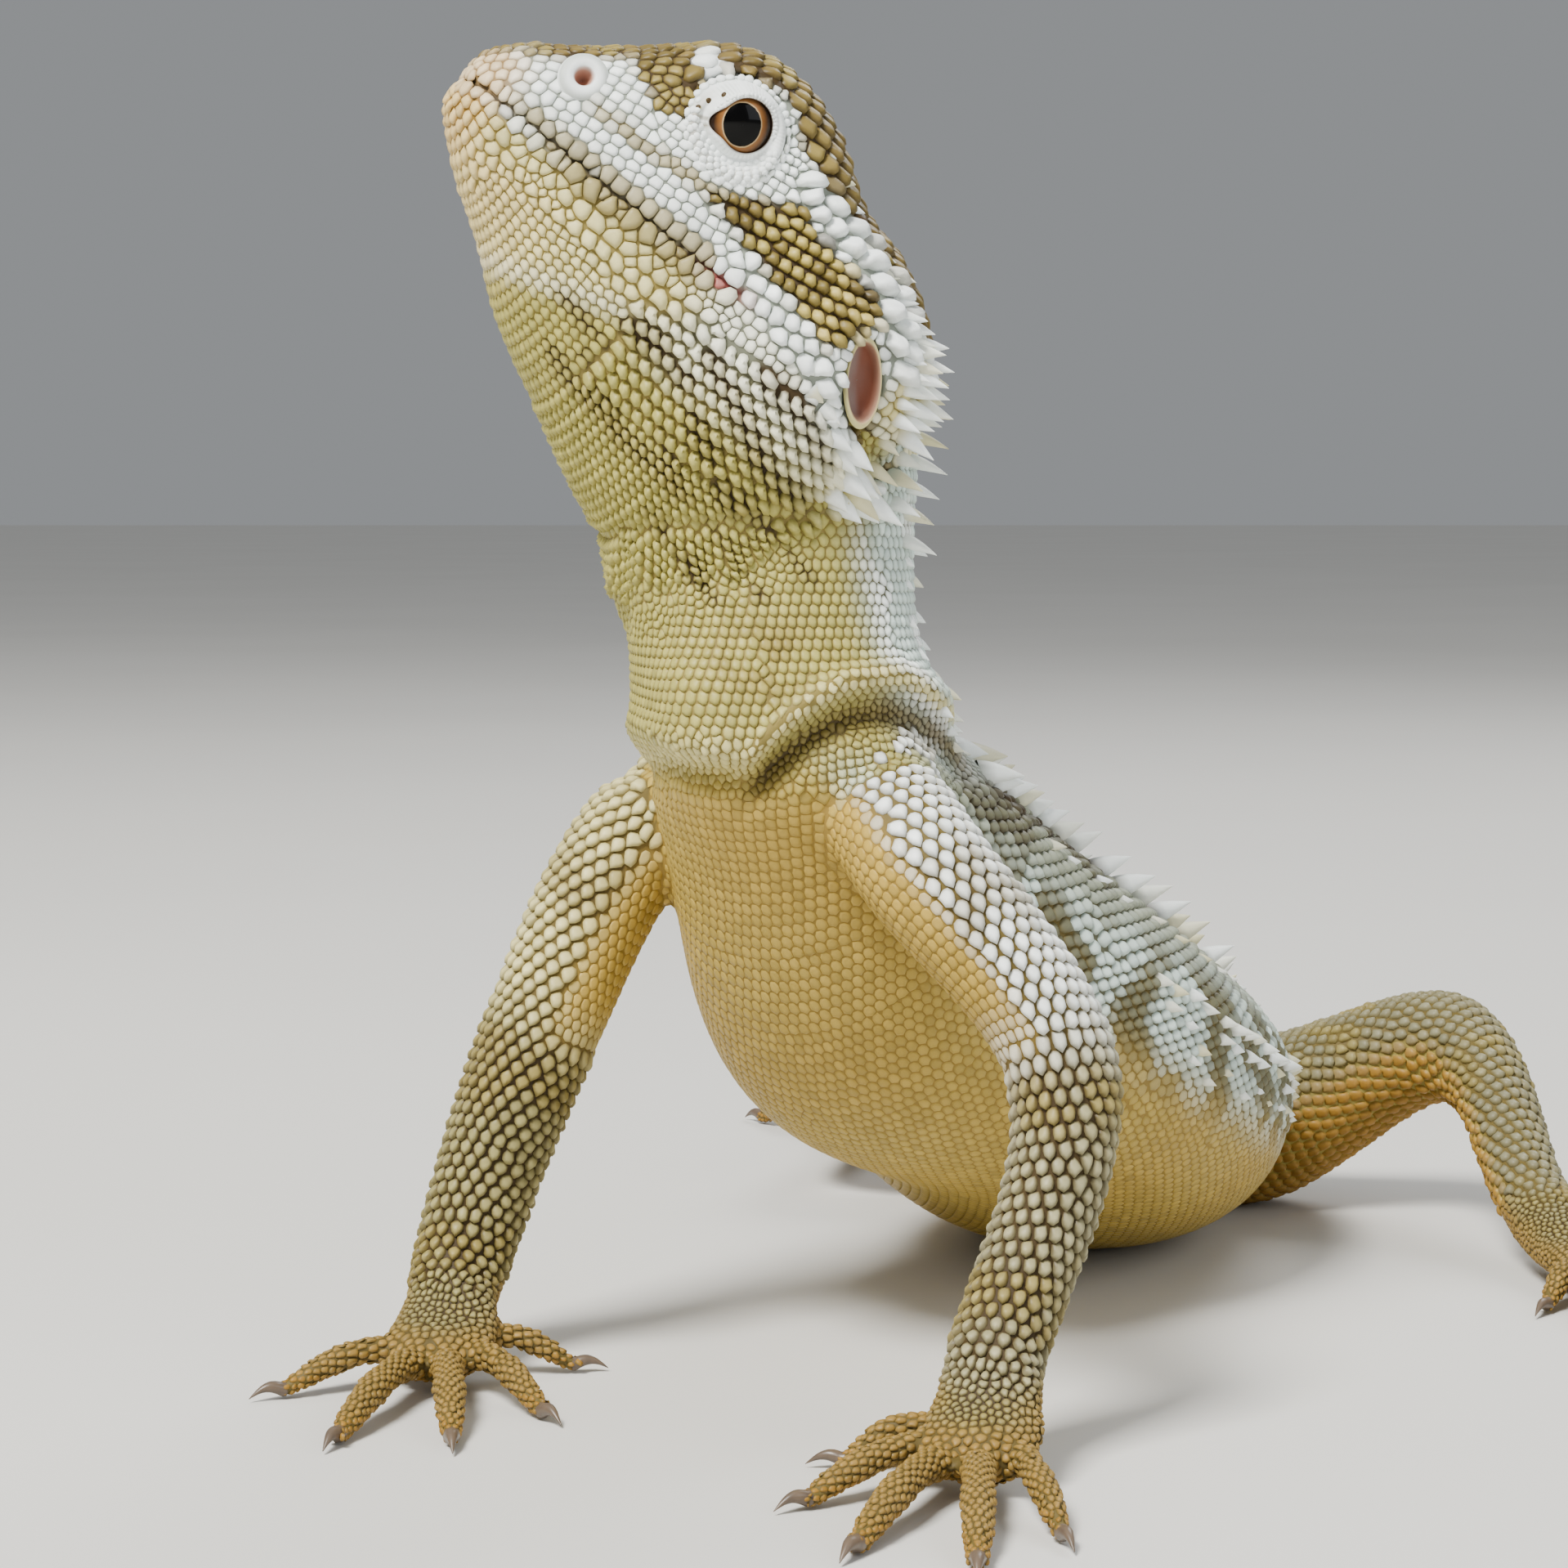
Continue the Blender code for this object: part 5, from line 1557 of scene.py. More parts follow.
    def fill(self, points: Array) -> Array:
        """Further roots on the skin wherever no root is near, none closer together than their width."""
        tree = self.search(points)
        order = np.random.default_rng(SEED).permutation(len(self.points))
        sizes = self.size(self.where)
        made: list[Array] = []
        for index in order:
            spot = self.points[index]
            if tree.find(spot)[2] < self.loosest * sizes[index]:
                continue
            last = np.array(made[-self.recent :])
            if made and np.min(np.sum((last - spot) ** 2, axis=1)) < (0.9 * sizes[index]) ** 2:
                continue
            made.append(spot)
        return np.array(made).reshape(-1, 3)

    def seeds(self) -> tuple[Array, Array]:
        """First roots: the fixed rows of the lips, the lattices of every length and the fillers.

        Returns:
            Places, and for the fixed ones their width, else 0.
        """
        rows, wide = self.rows()
        loose, sizes = [rows], [wide]
        for region, surface, start, stop, low, high in self.lengths():
            for size in self.classes:
                points = self.lattice(surface, start, stop, (low + high) / 2, size)
                where = self.atlas.find(points)
                mine = where.on(region) & (self.size(where) == size)
                mine &= (region == Region.HEAD) | (where.foot > 0.5) | (
                    (np.abs(where.angle) >= low) & (np.abs(where.angle) < high + 1e-6))
                loose.append(points[mine])
                sizes.append(np.full(int(mine.sum()), size))
        points, sizes = np.concatenate(loose), np.concatenate(sizes)
        settled, _ = self.settle(points)
        near = np.linalg.norm(settled - points, axis=1) < 2.0
        keep = self.thin(settled, sizes) & near
        keep[: len(rows)] = True
        points = settled[keep]
        more = self.fill(points)
        log.info("%d rows of lips, %d in rows, %d fillers", len(rows), len(points), len(more))
        known = np.concatenate([wide, np.zeros(len(points) + len(more) - len(rows))])
        return np.concatenate([points, more]), known

    @staticmethod
    def neighbours(points: Array, count: int) -> Array:
        """Numbers of the nearest other roots of each root."""
        tree = Scatter.search(points)
        return np.array([[hit[1] for hit in tree.find_n(point, count + 1)[1:]] for point in points])

    def settle(self, points: Array) -> tuple[Array, Array]:
        """Moves points to the nearest point of the skin, and gives its outward way there."""
        found = [self.tree.find_nearest(point) for point in points]
        return np.array([hit[0] for hit in found]), np.array([hit[1] for hit in found])

    def build(self) -> Field:
        """Spreads the roots.

        In each round a root is pushed away from each neighbour that is closer than their mean width, by a
        share of what is missing, and is then set back on the skin.

        Returns:
            The roots.
        """
        points, known = self.seeds()
        fixed = known > 0
        size = np.where(fixed, known, self.size(self.atlas.find(points)))
        for _ in range(self.rounds):
            near = self.neighbours(points, 7)
            away = points[:, None] - points[near]
            gap = np.linalg.norm(away, axis=2)
            want = (size[:, None] + size[near]) / 2 * 0.97
            push = np.clip(want - gap, 0, None) / np.maximum(gap, 1e-3)
            move = (away * push[..., None]).sum(axis=1) * 0.32
            move = move * np.minimum(1, 0.4 * size / np.maximum(np.linalg.norm(move, axis=1), 1e-6))[:, None]
            points = np.where(fixed[:, None], points, points + move)
            points, _ = self.settle(points)
        points, normals = self.settle(points)
        where = self.atlas.find(points)
        keep = self.allowed(where)
        return Field(where.part(keep), normals[keep], size[keep])

    def allowed(self, where: Where) -> Array:
        """Whether a root is clear of eye, nostril, ear and mouth line, and not under the floor flats."""
        f, out, u = where.head.T
        out = np.abs(out)
        head = where.on(Region.HEAD)
        eye = Eyes.share(self.shape, f, u) < 0.93
        nose = np.hypot(f - self.shape.nostril[0], u - self.shape.nostril[1]) < 1.9
        x, y = self.shape.ear_axes(f, u)
        ear = np.hypot(x / 1.95, y / 3.95) < 1
        mouth = (np.abs(u) < 0.32) & (f > 0.5)
        holes = (eye & (out > 3)) | (nose & (out > 1.5)) | (ear & (out > 6)) | mouth
        return ~(head & holes) & (where.points[:, 2] > 0.35)


@dataclass
class Coat:
    """All the scales, as small raised plates whose outlines meet those of their neighbours."""

    scatter: Scatter
    roots: Field
    markings: Markings
    gap: float = 0.045
    cap: float = 0.82
    limit: int = 190000
    belly_turn: float = 1.6
    rings: tuple = ((1.0, -0.40, 0.35, 0.9), (0.93, 0.42, 0.60, 1.0), (0.55, 0.88, 0.45, 0.2))
    trunk_length: float = 225
    tail_length: float = 200
    head_length: float = 47
    limb_length: float = 125

    def shapes(self) -> Array:
        """Height, lift of the rear edge and point of each scale, as shares of its width.

        Returns:
            A row of three for each scale; later rules go over earlier ones.
        """
        where = self.roots.where
        f, _, u = where.head.T
        turn, body, head = where.turn, where.on(Region.BODY), where.on(Region.HEAD)
        limb, neck = ~body & ~head, body & where.on_neck()
        band = trail(f, u, Markings.cheek_band)
        cheek = head & (u < -3.0) & (f < 7.0)
        rules = (
            (body, 0.24, 0.75, 0.55), (body & (turn > 100), 0.08, 0.40, 0.2), (neck, 0.20, 0.8, 0.4),
            (limb, 0.26, 0.9, 0.6), (limb & (where.foot > 0.5), 0.22, 0.7, 0.4),
            (limb & (Markings.inner(where) > 0.5), 0.10, 0.5, 0.3),
            (head, 0.18, 0.35, 0.12), (head & (turn > 110), 0.22, 0.8, 0.5),
            (head & (patch(f, u, Markings.crown) < 0), 0.20, 0.9, 0.35),
            (cheek, 0.36, 1.2, 1.0), (cheek & (f < -3.0), 0.44, 1.35, 1.25),
            (head & (patch(f, u, Markings.temple) < 0.4), 0.36, 1.25, 0.85),
            (head & (trail(f, u, Markings.stripe) < 1.6), 0.34, 0.9, 0.5),
            (head & (trail(f, u, Markings.stripe) < 1.6) & (f < -2.0), 0.42, 1.3, 0.9),
            (head & (band < 1.5), 0.30, 0.7, 0.4), (head & (band < 1.5) & (f < -8.0), 0.36, 1.1, 0.8),
            (head & (np.abs(u) < 1.9) & (f > 2.0), 0.20, 0.15, 0.0),
        )
        table = np.zeros((len(f), 3))
        for mask, *values in rules:
            table[mask] = values
        return table

    def outlines(self, near: Array, sides: int, pick: Array) -> tuple[Array, Array, Array, Array]:
        """The outline of scales, from the half-way lines to their neighbours.

        In each direction the edge is at the least distance at which a half-way line is crossed: the gap to
        the neighbour times this scale's share of both widths, over the cosine of the angle between them.

        Args:
            near: Neighbours of every root.
            sides: Corners of each outline.
            pick: Which roots to outline.

        Returns:
            Radii, the directions' angles, and the two axes of each scale.
        """
        where, sizes = self.roots.where, self.roots.sizes
        points, normals = where.points[pick], self.roots.normals[pick]
        lie = where.lie[pick]
        ahead = unit(lie - normals * np.sum(lie * normals, axis=1, keepdims=True))
        aside = np.cross(normals, ahead)
        away = where.points[near[pick]] - points[:, None]
        x, y = np.einsum("ijk,ik->ij", away, ahead), np.einsum("ijk,ik->ij", away, aside)
        far, bearing = np.hypot(x, y), np.arctan2(y, x)
        own = sizes[pick][:, None] / (sizes[pick][:, None] + sizes[near[pick]])
        angles = turns(sides)
        cosine = np.cos(angles[None, None] - bearing[..., None])
        reach = np.where(cosine > 0.15, (own * far)[..., None] / np.maximum(cosine, 0.15), 9.0).min(axis=1)
        reach = np.minimum(reach, self.cap * sizes[pick][:, None]) * (1 - self.gap)
        return reach, angles, ahead, aside

    @classmethod
    def chart(cls, where: Where) -> Array:
        """Each root's place on the unwrap of the skin.

        Trunk, head, tail and each limb have a field of their own, with the way along on one side of it and
        the way round on the other.
        """
        turn = where.angle / (2 * math.pi) + 0.5
        u = 0.01 + 0.40 * turn
        v = 0.02 + 0.96 * where.along / cls.trunk_length
        tail = where.on(Region.BODY) & (where.along > cls.trunk_length)
        u = np.where(tail, 0.44 + 0.54 * (where.along - cls.trunk_length) / cls.tail_length, u)
        v = np.where(tail, 0.71 + 0.27 * turn, v)
        head = where.on(Region.HEAD)
        u = np.where(head, 0.44 + 0.54 * turn, u)
        v = np.where(head, 0.02 + 0.21 * where.along / cls.head_length, v)
        limb = where.region > Region.HEAD.value
        u = np.where(limb, 0.44 + 0.14 * (where.region - 2) + 0.13 * turn, u)
        v = np.where(limb, 0.26 + 0.42 * where.along / cls.limb_length, v)
        return np.clip(np.stack([u, v], 1), 0.002, 0.998)

    def build(self, maker: Maker, finish: bpy.types.Material) -> None:
        """Makes the scales of each part of the body as joined meshes."""
        where = self.roots.where
        near = Scatter.neighbours(where.points, 10)
        head, body = where.on(Region.HEAD), where.on(Region.BODY)
        side = where.head[:, 1] > 0
        turn = np.abs(where.angle)
        tail = body & (where.along > self.scatter.shape.body_at("tail_root"))
        neck = body & (where.along < self.scatter.shape.body_at("shoulders"))
        trunk = body & ~tail & ~neck
        arms = where.on(Region.LEFT_ARM, Region.RIGHT_ARM)
        legs = where.on(Region.LEFT_LEG, Region.RIGHT_LEG)
        groups = {
            "scales_head_left": (head & side, 14), "scales_head_right": (head & ~side, 12),
            "scales_neck": (neck, 12), "scales_back": (trunk & (turn < self.belly_turn), 10),
            "scales_belly": (trunk & (turn >= self.belly_turn), 7), "scales_tail": (tail, 8),
            "scales_arms": (arms, 10), "scales_legs": (legs, 8),
        }
        shapes = self.shapes()
        paint = self.markings.paint(where)
        for name, (mine, sides) in groups.items():
            self.group(maker, finish, name, np.flatnonzero(mine), sides, near, shapes, paint)

    def group(self, maker: Maker, finish: bpy.types.Material, name: str, pick: Array, sides: int, near: Array,
              shapes: Array, paint: Paint) -> None:
        """One joined mesh of scales.

        Each scale has a sunk rim, a shoulder and a crown ring and a peak; every ring is the outline times a
        share, drawn out towards the rear by the scale's point, and rises more at the rear by its lift. The
        crease's colour shows at the rim, and over the front more than over the rear as painted shade
        under the neighbouring scale's overlapping tip; the peak is a little lighter as a painted highlight.

        Args:
            maker: Makes the piece.
            finish: Its material.
            name: Its name.
            pick: The roots.
            sides: Corners of each scale.
            near: Neighbours of every root.
            shapes: Height, lift and point of every scale.
            paint: Colours of every scale.
        """
        reach, angles, ahead, aside = self.outlines(near, sides, pick)
        draw = np.random.default_rng(SEED + len(name))
        size = self.roots.sizes[pick]
        normals = self.roots.normals[pick]
        base = self.roots.where.points[pick]
        height, lift, point = shapes[pick].T
        height = height * size * draw.uniform(0.85, 1.15, len(pick))
        cosine = np.cos(angles)[None]
        rear = np.maximum(cosine, 0) ** 7
        stretch = 1 - 0.12 * point[:, None] + 0.80 * point[:, None] * rear
        tint, crease, border = paint.tint[pick], paint.crease[pick], paint.border[pick]
        tint = tint * (1 + draw.normal(0, 0.075, (len(pick), 1)))
        rings, tints = [], []
        for share, level, tilt, edge in self.rings:
            radius = reach * stretch * share
            rise = height[:, None] * (level + tilt * lift[:, None] * cosine)
            x, y = radius * np.cos(angles), radius * np.sin(angles)
            ring = base[:, None] + ahead[:, None] * x[..., None] + aside[:, None] * y[..., None]
            rings.append(ring + normals[:, None] * rise[..., None])
            amount = np.full(len(pick), edge) if share == 1.0 else border * edge
            # Painted shade: more crease colour over the front of each scale, where the neighbour's tip would
            # shade it.
            mix = np.clip(amount[:, None] * (1 - 0.45 * cosine * lift[:, None]), 0, 1)[..., None]
            tints.append(tint[:, None] * (1 - mix) + crease[:, None] * mix)
        shift = size * (0.05 + 0.24 * point)
        peak = base + ahead * shift[:, None] + normals * (height * (1 + 0.5 * lift * point))[:, None]
        points = np.concatenate([*rings, peak[:, None]], axis=1)
        # Painted highlight: the peak is 6 per cent lighter than the scale's tint.
        colours = np.concatenate([*tints, (tint * 1.06)[:, None]], axis=1)
        points[..., 2] = np.maximum(points[..., 2], FLOOR_GAP)
        flat = np.stack([np.cos(angles), np.sin(angles)], 1)
        spots = np.concatenate([flat * BAKE_HALF, flat * BAKE_HALF * 0.9, flat * BAKE_HALF * 0.5, [[0, 0]]])
        spots = self.chart(self.roots.where.part(pick))[:, None] + spots[None]
        faces = self.faces(len(pick), sides)
        pieces = math.ceil(len(faces) / self.limit)
        share = math.ceil(len(pick) / pieces)
        per = len(faces) // len(pick)
        for part in range(pieces):
            a, b = part * share, min((part + 1) * share, len(pick))
            label = name if pieces == 1 else f"{name}_{part + 1}"
            maker.piece(label, points[a:b].reshape(-1, 3), faces[: (b - a) * per], finish, Slot.SKIN,
                        colours[a:b].reshape(-1, 3), spots[a:b].reshape(-1, 2))

    @staticmethod
    def faces(count: int, sides: int) -> Array:
        """Triangles of all the scales: two bands of squares and a fan."""
        i = np.arange(sides)
        j = (i + 1) % sides
        made = []
        for low, high in ((0, sides), (sides, 2 * sides)):
            made.append(np.stack([low + i, low + j, high + j], 1))
            made.append(np.stack([low + i, high + j, high + i], 1))
        made.append(np.stack([2 * sides + i, 2 * sides + j, np.full(sides, 3 * sides)], 1))
        one = np.concatenate(made)
        return (one[None] + (np.arange(count) * (3 * sides + 1))[:, None, None]).reshape(-1, 3)


@dataclass
class Spines:
    """The long spines: fringe behind the head, temple, jaw corner, beard, back, flanks and tail."""

    shape: Frame
    scatter: Scatter
    markings: Markings
    sides: int = 8
    rings: int = 6
    head_rows: tuple = (
        (8, (-13.0, 60.0), (-16.9, 97.0), (2.9, 3.4), 0.78, ((-0.80, 0.40, 0.50), (-0.95, 0.30, 0.10))),
        (8, (-12.3, 63.0), (-16.2, 101.0), (1.9, 2.6), 0.62, ((-0.75, 0.55, 0.40), (-0.90, 0.45, 0.00))),
        (6, (-13.6, 50.0), (-16.8, 78.0), (2.4, 3.2), 0.75, ((-0.85, 0.20, 0.55), (-0.90, 0.30, 0.30))),
        (9, (-3.0, 46.0), (-12.6, 57.0), (1.2, 2.2), 0.72, ((-0.90, 0.25, 0.45), (-0.88, 0.30, 0.45))),
        (6, (1.5, 38.0), (-8.0, 41.0), (1.1, 1.7), 0.65, ((-0.90, 0.10, 0.45), (-0.90, 0.15, 0.45))),
        (5, (-6.0, 93.0), (-13.0, 99.5), (1.1, 2.4), 0.85, ((-0.95, 0.28, -0.05), (-0.93, 0.35, -0.05))),
        (5, (-13.2, 101.5), (-17.2, 106.5), (2.6, 3.9), 1.15, ((-0.92, 0.40, -0.05), (-0.95, 0.30, 0.05))),
        (4, (-13.2, 106.0), (-16.8, 110.5), (1.9, 3.0), 1.05, ((-0.92, 0.40, -0.15), (-0.95, 0.30, -0.05))),
    )
    body_rows: tuple = (
        (("skull", 0.70), ("throat", 0.0), 1.9, 38.0, 3.4, 0.80, 0.3),
        (("skull", 0.75), ("nape", 0.9), 2.1, 52.0, 3.0, 0.75, 0.35),
        (("throat", 0.1), ("shoulders", 0.1), 2.6, 15.0, 1.7, 0.70, 0.4),
        (("throat", 0.1), ("collar", 0.9), 2.9, 34.0, 1.3, 0.6, 0.5),
        (("shoulders", 0.0), ("pelvis", 0.6), 4.1, 11.0, 4.6, 1.75, 0.55),
        (("shoulders", 0.2), ("loin", 0.8), 3.3, 33.0, 4.0, 1.45, 0.45),
        (("shoulders", 0.6), ("pelvis", 0.3), 3.6, 23.0, 2.2, 0.95, 0.7),
        (("chest", 0.0), ("pelvis", 0.4), 4.2, 52.0, 1.7, 0.75, 0.9),
        (("chest", 0.55), ("pelvis", 0.1), 2.5, 80.0, 2.4, 0.80, 0.9),
        (("chest", 0.65), ("pelvis", 0.0), 2.7, 88.0, 1.9, 0.75, 1.0),
        (("chest", 0.8), ("loin", 0.8), 3.2, 97.0, 1.5, 0.65, 1.1),
        (("tail_root", 0.0), ("tail_slim", 0.9), 3.6, 26.0, 1.5, 0.65, 1.3),
        (("tail_root", 0.0), ("tail_middle", 0.9), 3.2, 62.0, 1.7, 0.65, 1.3),
        (("tail_root", 0.1), ("tail_thick", 0.9), 2.8, 84.0, 1.9, 0.7, 1.2),
    )

    def on_head(self) -> tuple[Array, Array, Array, Array]:
        """Roots, lengths, radii and ways of the head's spines, mirrored and varied a little."""
        draw = np.random.default_rng(SEED + 50)
        made: list[tuple] = []
        for count, first, last, (short, long), radius, (start, end) in self.head_rows:
            for side in (1, -1):
                t = np.linspace(0, 1, count)
                f = first[0] + (last[0] - first[0]) * t + draw.normal(0, 0.15, count)
                turn = np.radians(first[1] + (last[1] - first[1]) * t + draw.normal(0, 1.4, count)) * side
                way = np.array(start) * (1 - t[:, None]) + np.array(end) * t[:, None]
                way = way + draw.normal(0, 0.07, (count, 3))
                roots = self.shape.from_head(self.shape.head_surface(f, turn))
                length = (short + (long - short) * t) * draw.uniform(0.82, 1.12, count)
                thick = radius * draw.uniform(0.9, 1.1, count)
                made.append((roots, length, thick, unit(way * [1, side, 1]) @ self.shape.head_axes))
        return tuple(np.concatenate(v) for v in zip(*made))

    def on_body(self) -> tuple[Array, Array, Array, Array]:
        """Roots, lengths, radii and ways of the body's spines, which lean from the skin towards the tail."""
        draw = np.random.default_rng(SEED + 51)
        made: list[tuple] = []
        for first, last, space, angle, length, radius, lean in self.body_rows:
            low, high = self.shape.body_at(*first), self.shape.body_at(*last)
            for side in (1, -1):
                at = np.arange(low, high, space)
                at = at + draw.normal(0, 0.12 * space, len(at))
                turn = np.radians(angle + draw.normal(0, 1.6, len(at))) * side
                roots = self.shape.body.surface(at, turn)
                centre, forward, _, _ = self.shape.body.axes(at)
                thin = 1 - 0.5 * step(300.0, 400.0, at)
                made.append((roots, length * thin * draw.uniform(0.75, 1.12, len(at)), radius * thin,
                             unit(unit(roots - centre) - forward * lean)))
        return tuple(np.concatenate(v) for v in zip(*made))

    def build(self, maker: Maker, finish: bpy.types.Material) -> None:
        """Makes all the spines as one joined mesh.

        The middle line of a spine runs out along its way and bends towards its lie with the square of its
        share; its radius falls from the root's to a point as 1 minus its share to the power of 1.7.

        Args:
            maker: Makes the piece.
            finish: Its material.
        """
        roots, length, radius, way = (np.concatenate(v) for v in zip(self.on_head(), self.on_body()))
        roots, normals = self.scatter.settle(roots)
        where = self.scatter.atlas.find(roots)
        rise = np.sum(way * normals, axis=1)
        way = unit(way + normals * np.maximum(0.38 - rise, 0)[:, None])
        aside = unit(np.cross(normals, way))
        across = np.cross(aside, way)
        t = np.linspace(0, 1, self.rings)
        bend = way[:, None] * t[None, :, None] + where.lie[:, None] * (0.12 * t**2)[None, :, None]
        line = roots[:, None] - normals[:, None] * 0.35 + bend * length[:, None, None]
        turn = turns(self.sides)
        circle = np.cos(turn)[None, :, None] * aside[:, None]
        circle = circle + np.sin(turn)[None, :, None] * across[:, None] * 0.8
        slim = np.maximum(1 - t**1.7, 0.03)[None, :, None, None]
        points = line[:, :, None] + circle[:, None] * slim * radius[:, None, None, None]
        points[..., 2] = np.maximum(points[..., 2], 0.05)
        paint = self.markings.paint(where)
        draw = np.random.default_rng(SEED + 52)
        warm = draw.random((len(roots), 1)) ** 2 * 0.8
        tip = np.array(HUES.cream) * warm + np.array(HUES.white) * (1 - warm)
        mix = np.clip(t * 2.4, 0, 1)[None, :, None, None]
        base = (paint.tint * 0.55 + paint.crease * 0.45)[:, None, None]
        tints = np.broadcast_to(base * (1 - mix) + tip[:, None, None] * mix, points.shape)
        slim = (BAKE_HALF * (1 - 0.9 * t))[None, :, None, None]
        ring = np.stack([np.cos(turn), np.sin(turn)], 1)[None, None] * slim
        spots = np.broadcast_to(Coat.chart(where)[:, None, None] + ring, (*points.shape[:3], 2))
        band = tube_faces(self.rings, self.sides)
        faces = (band[None] + (np.arange(len(roots)) * self.rings * self.sides)[:, None, None]).reshape(-1, 4)
        flat = points.reshape(-1, 3)
        maker.piece("spines", flat, facing(flat, faces, line[0, 0]), finish, Slot.SKIN, tints.reshape(-1, 3),
                    spots.reshape(-1, 2))


@dataclass(frozen=True)
class Collar:
    """One kind of ring: radii and heights, factors along and across, lean, tilt of its axis and colours."""

    profile: tuple[Pair, ...]
    stretch: Pair
    lean: float
    tilt: Pair
    stops: tuple
    inner_shade: Colour | None = None

    def tints(self, sine: Array) -> Array:
        """The colour of each point, from its radius, with painted shade over the rear half inside if given.

        Args:
            sine: Sine of each column's turn.

        Returns:
            One colour for each point.
        """
        radius = np.array(self.profile)[:, 0]
        knots, colours = (np.array(values) for values in zip(*self.stops))
        tints = np.stack([np.interp(radius, knots, colours[:, k]) for k in range(3)], 1)
        tints = np.repeat(tints, len(sine), axis=0)
        if self.inner_shade is None:
            return tints
        # Painted shade: the rear half of the inside takes the shade colour.
        inner = np.repeat(step(1.0, 0.9, radius), len(sine))
        back = -np.tile(sine, len(radius)) * np.repeat(radius, len(sine))
        rear = (inner * step(-0.35, 0.25, back))[:, None]
        return tints * (1 - rear) + np.array(self.inner_shade) * rear


@dataclass
class Collars:
    """Oval rings let into the side of the head, for nostrils and ears: a profile carried round an axis."""

    shape: Frame
    columns: int = 96
    nostril: Collar = Collar(
        ((0.02, -1.1), (0.45, -1.05), (0.72, -0.5), (0.80, -0.05), (0.95, 0.10), (1.35, 0.16),
         (1.75, 0.10), (2.0, -0.04), (2.15, -0.4)),
        (0.92, 1.0), 0.3, (0.22, 0.30),
        ((0.0, HUES.nose_deep), (0.7, HUES.nose_wall), (0.95, HUES.white), (1.6, HUES.white),
         (1.9, HUES.crease), (2.15, HUES.white)),
    )
    ear: Collar = Collar(
        ((0.02, -1.7), (0.55, -1.5), (0.85, -1.2), (0.95, -0.6), (1.0, -0.12), (1.04, 0.0),
         (1.09, -0.03), (1.15, -0.2), (1.2, -0.5)),
        (3.15, 1.35), math.pi / 2 - Frame.ear_lean, (-0.12, 0.02),
        ((0.0, HUES.membrane), (0.85, HUES.membrane), (1.0, HUES.ear_wall), (1.08, HUES.cream)),
        HUES.ear_deep,
    )

    def build(self, maker: Maker, finish: bpy.types.Material) -> None:
        """Makes the nostrils and ears of both sides."""
        for side, name in ((1, "left"), (-1, "right")):
            nose = self.shape.side_points(*self.shape.nostril, side)[0]
            self.one(maker, finish, f"nostril_{name}", nose, side, self.nostril)
            ear = self.shape.side_points(*self.shape.ear, side)[0] - [0, 0.25 * side, 0]
            self.one(maker, finish, f"ear_{name}", ear, side, self.ear)

    def one(self, maker: Maker, finish: bpy.types.Material, name: str, centre: Array, side: int,
            collar: Collar) -> None:
        """One ring as a piece.

        Args:
            maker: Makes the piece.
            finish: Its material.
            name: Its name.
            centre: Middle in the head's frame.
            side: 1 for the left side, -1 for the right.
            collar: The kind of ring.
        """
        profile, stretch = np.array(collar.profile), collar.stretch
        axis = unit(np.array([collar.tilt[0], side, collar.tilt[1]]))
        along = np.array([math.cos(collar.lean), 0, math.sin(collar.lean)])
        along = unit(along - axis * (along @ axis))
        across = np.cross(axis, along) * side
        turn = turns(self.columns)
        circle = np.cos(turn)[:, None] * along * stretch[0] + np.sin(turn)[:, None] * across * stretch[1]
        local = centre + circle[None] * profile[:, 0, None, None] + axis * profile[:, 1, None, None]
        points = self.shape.from_head(local.reshape(-1, 3))
        middle = self.shape.from_head((centre - np.array([0, 9.0 * side, 0]))[None])[0]
        faces = facing(points, tube_faces(len(profile), self.columns), middle, 5 * self.columns)
        maker.piece(name, points, faces, finish, Slot.SKIN, collar.tints(np.sin(turn)))


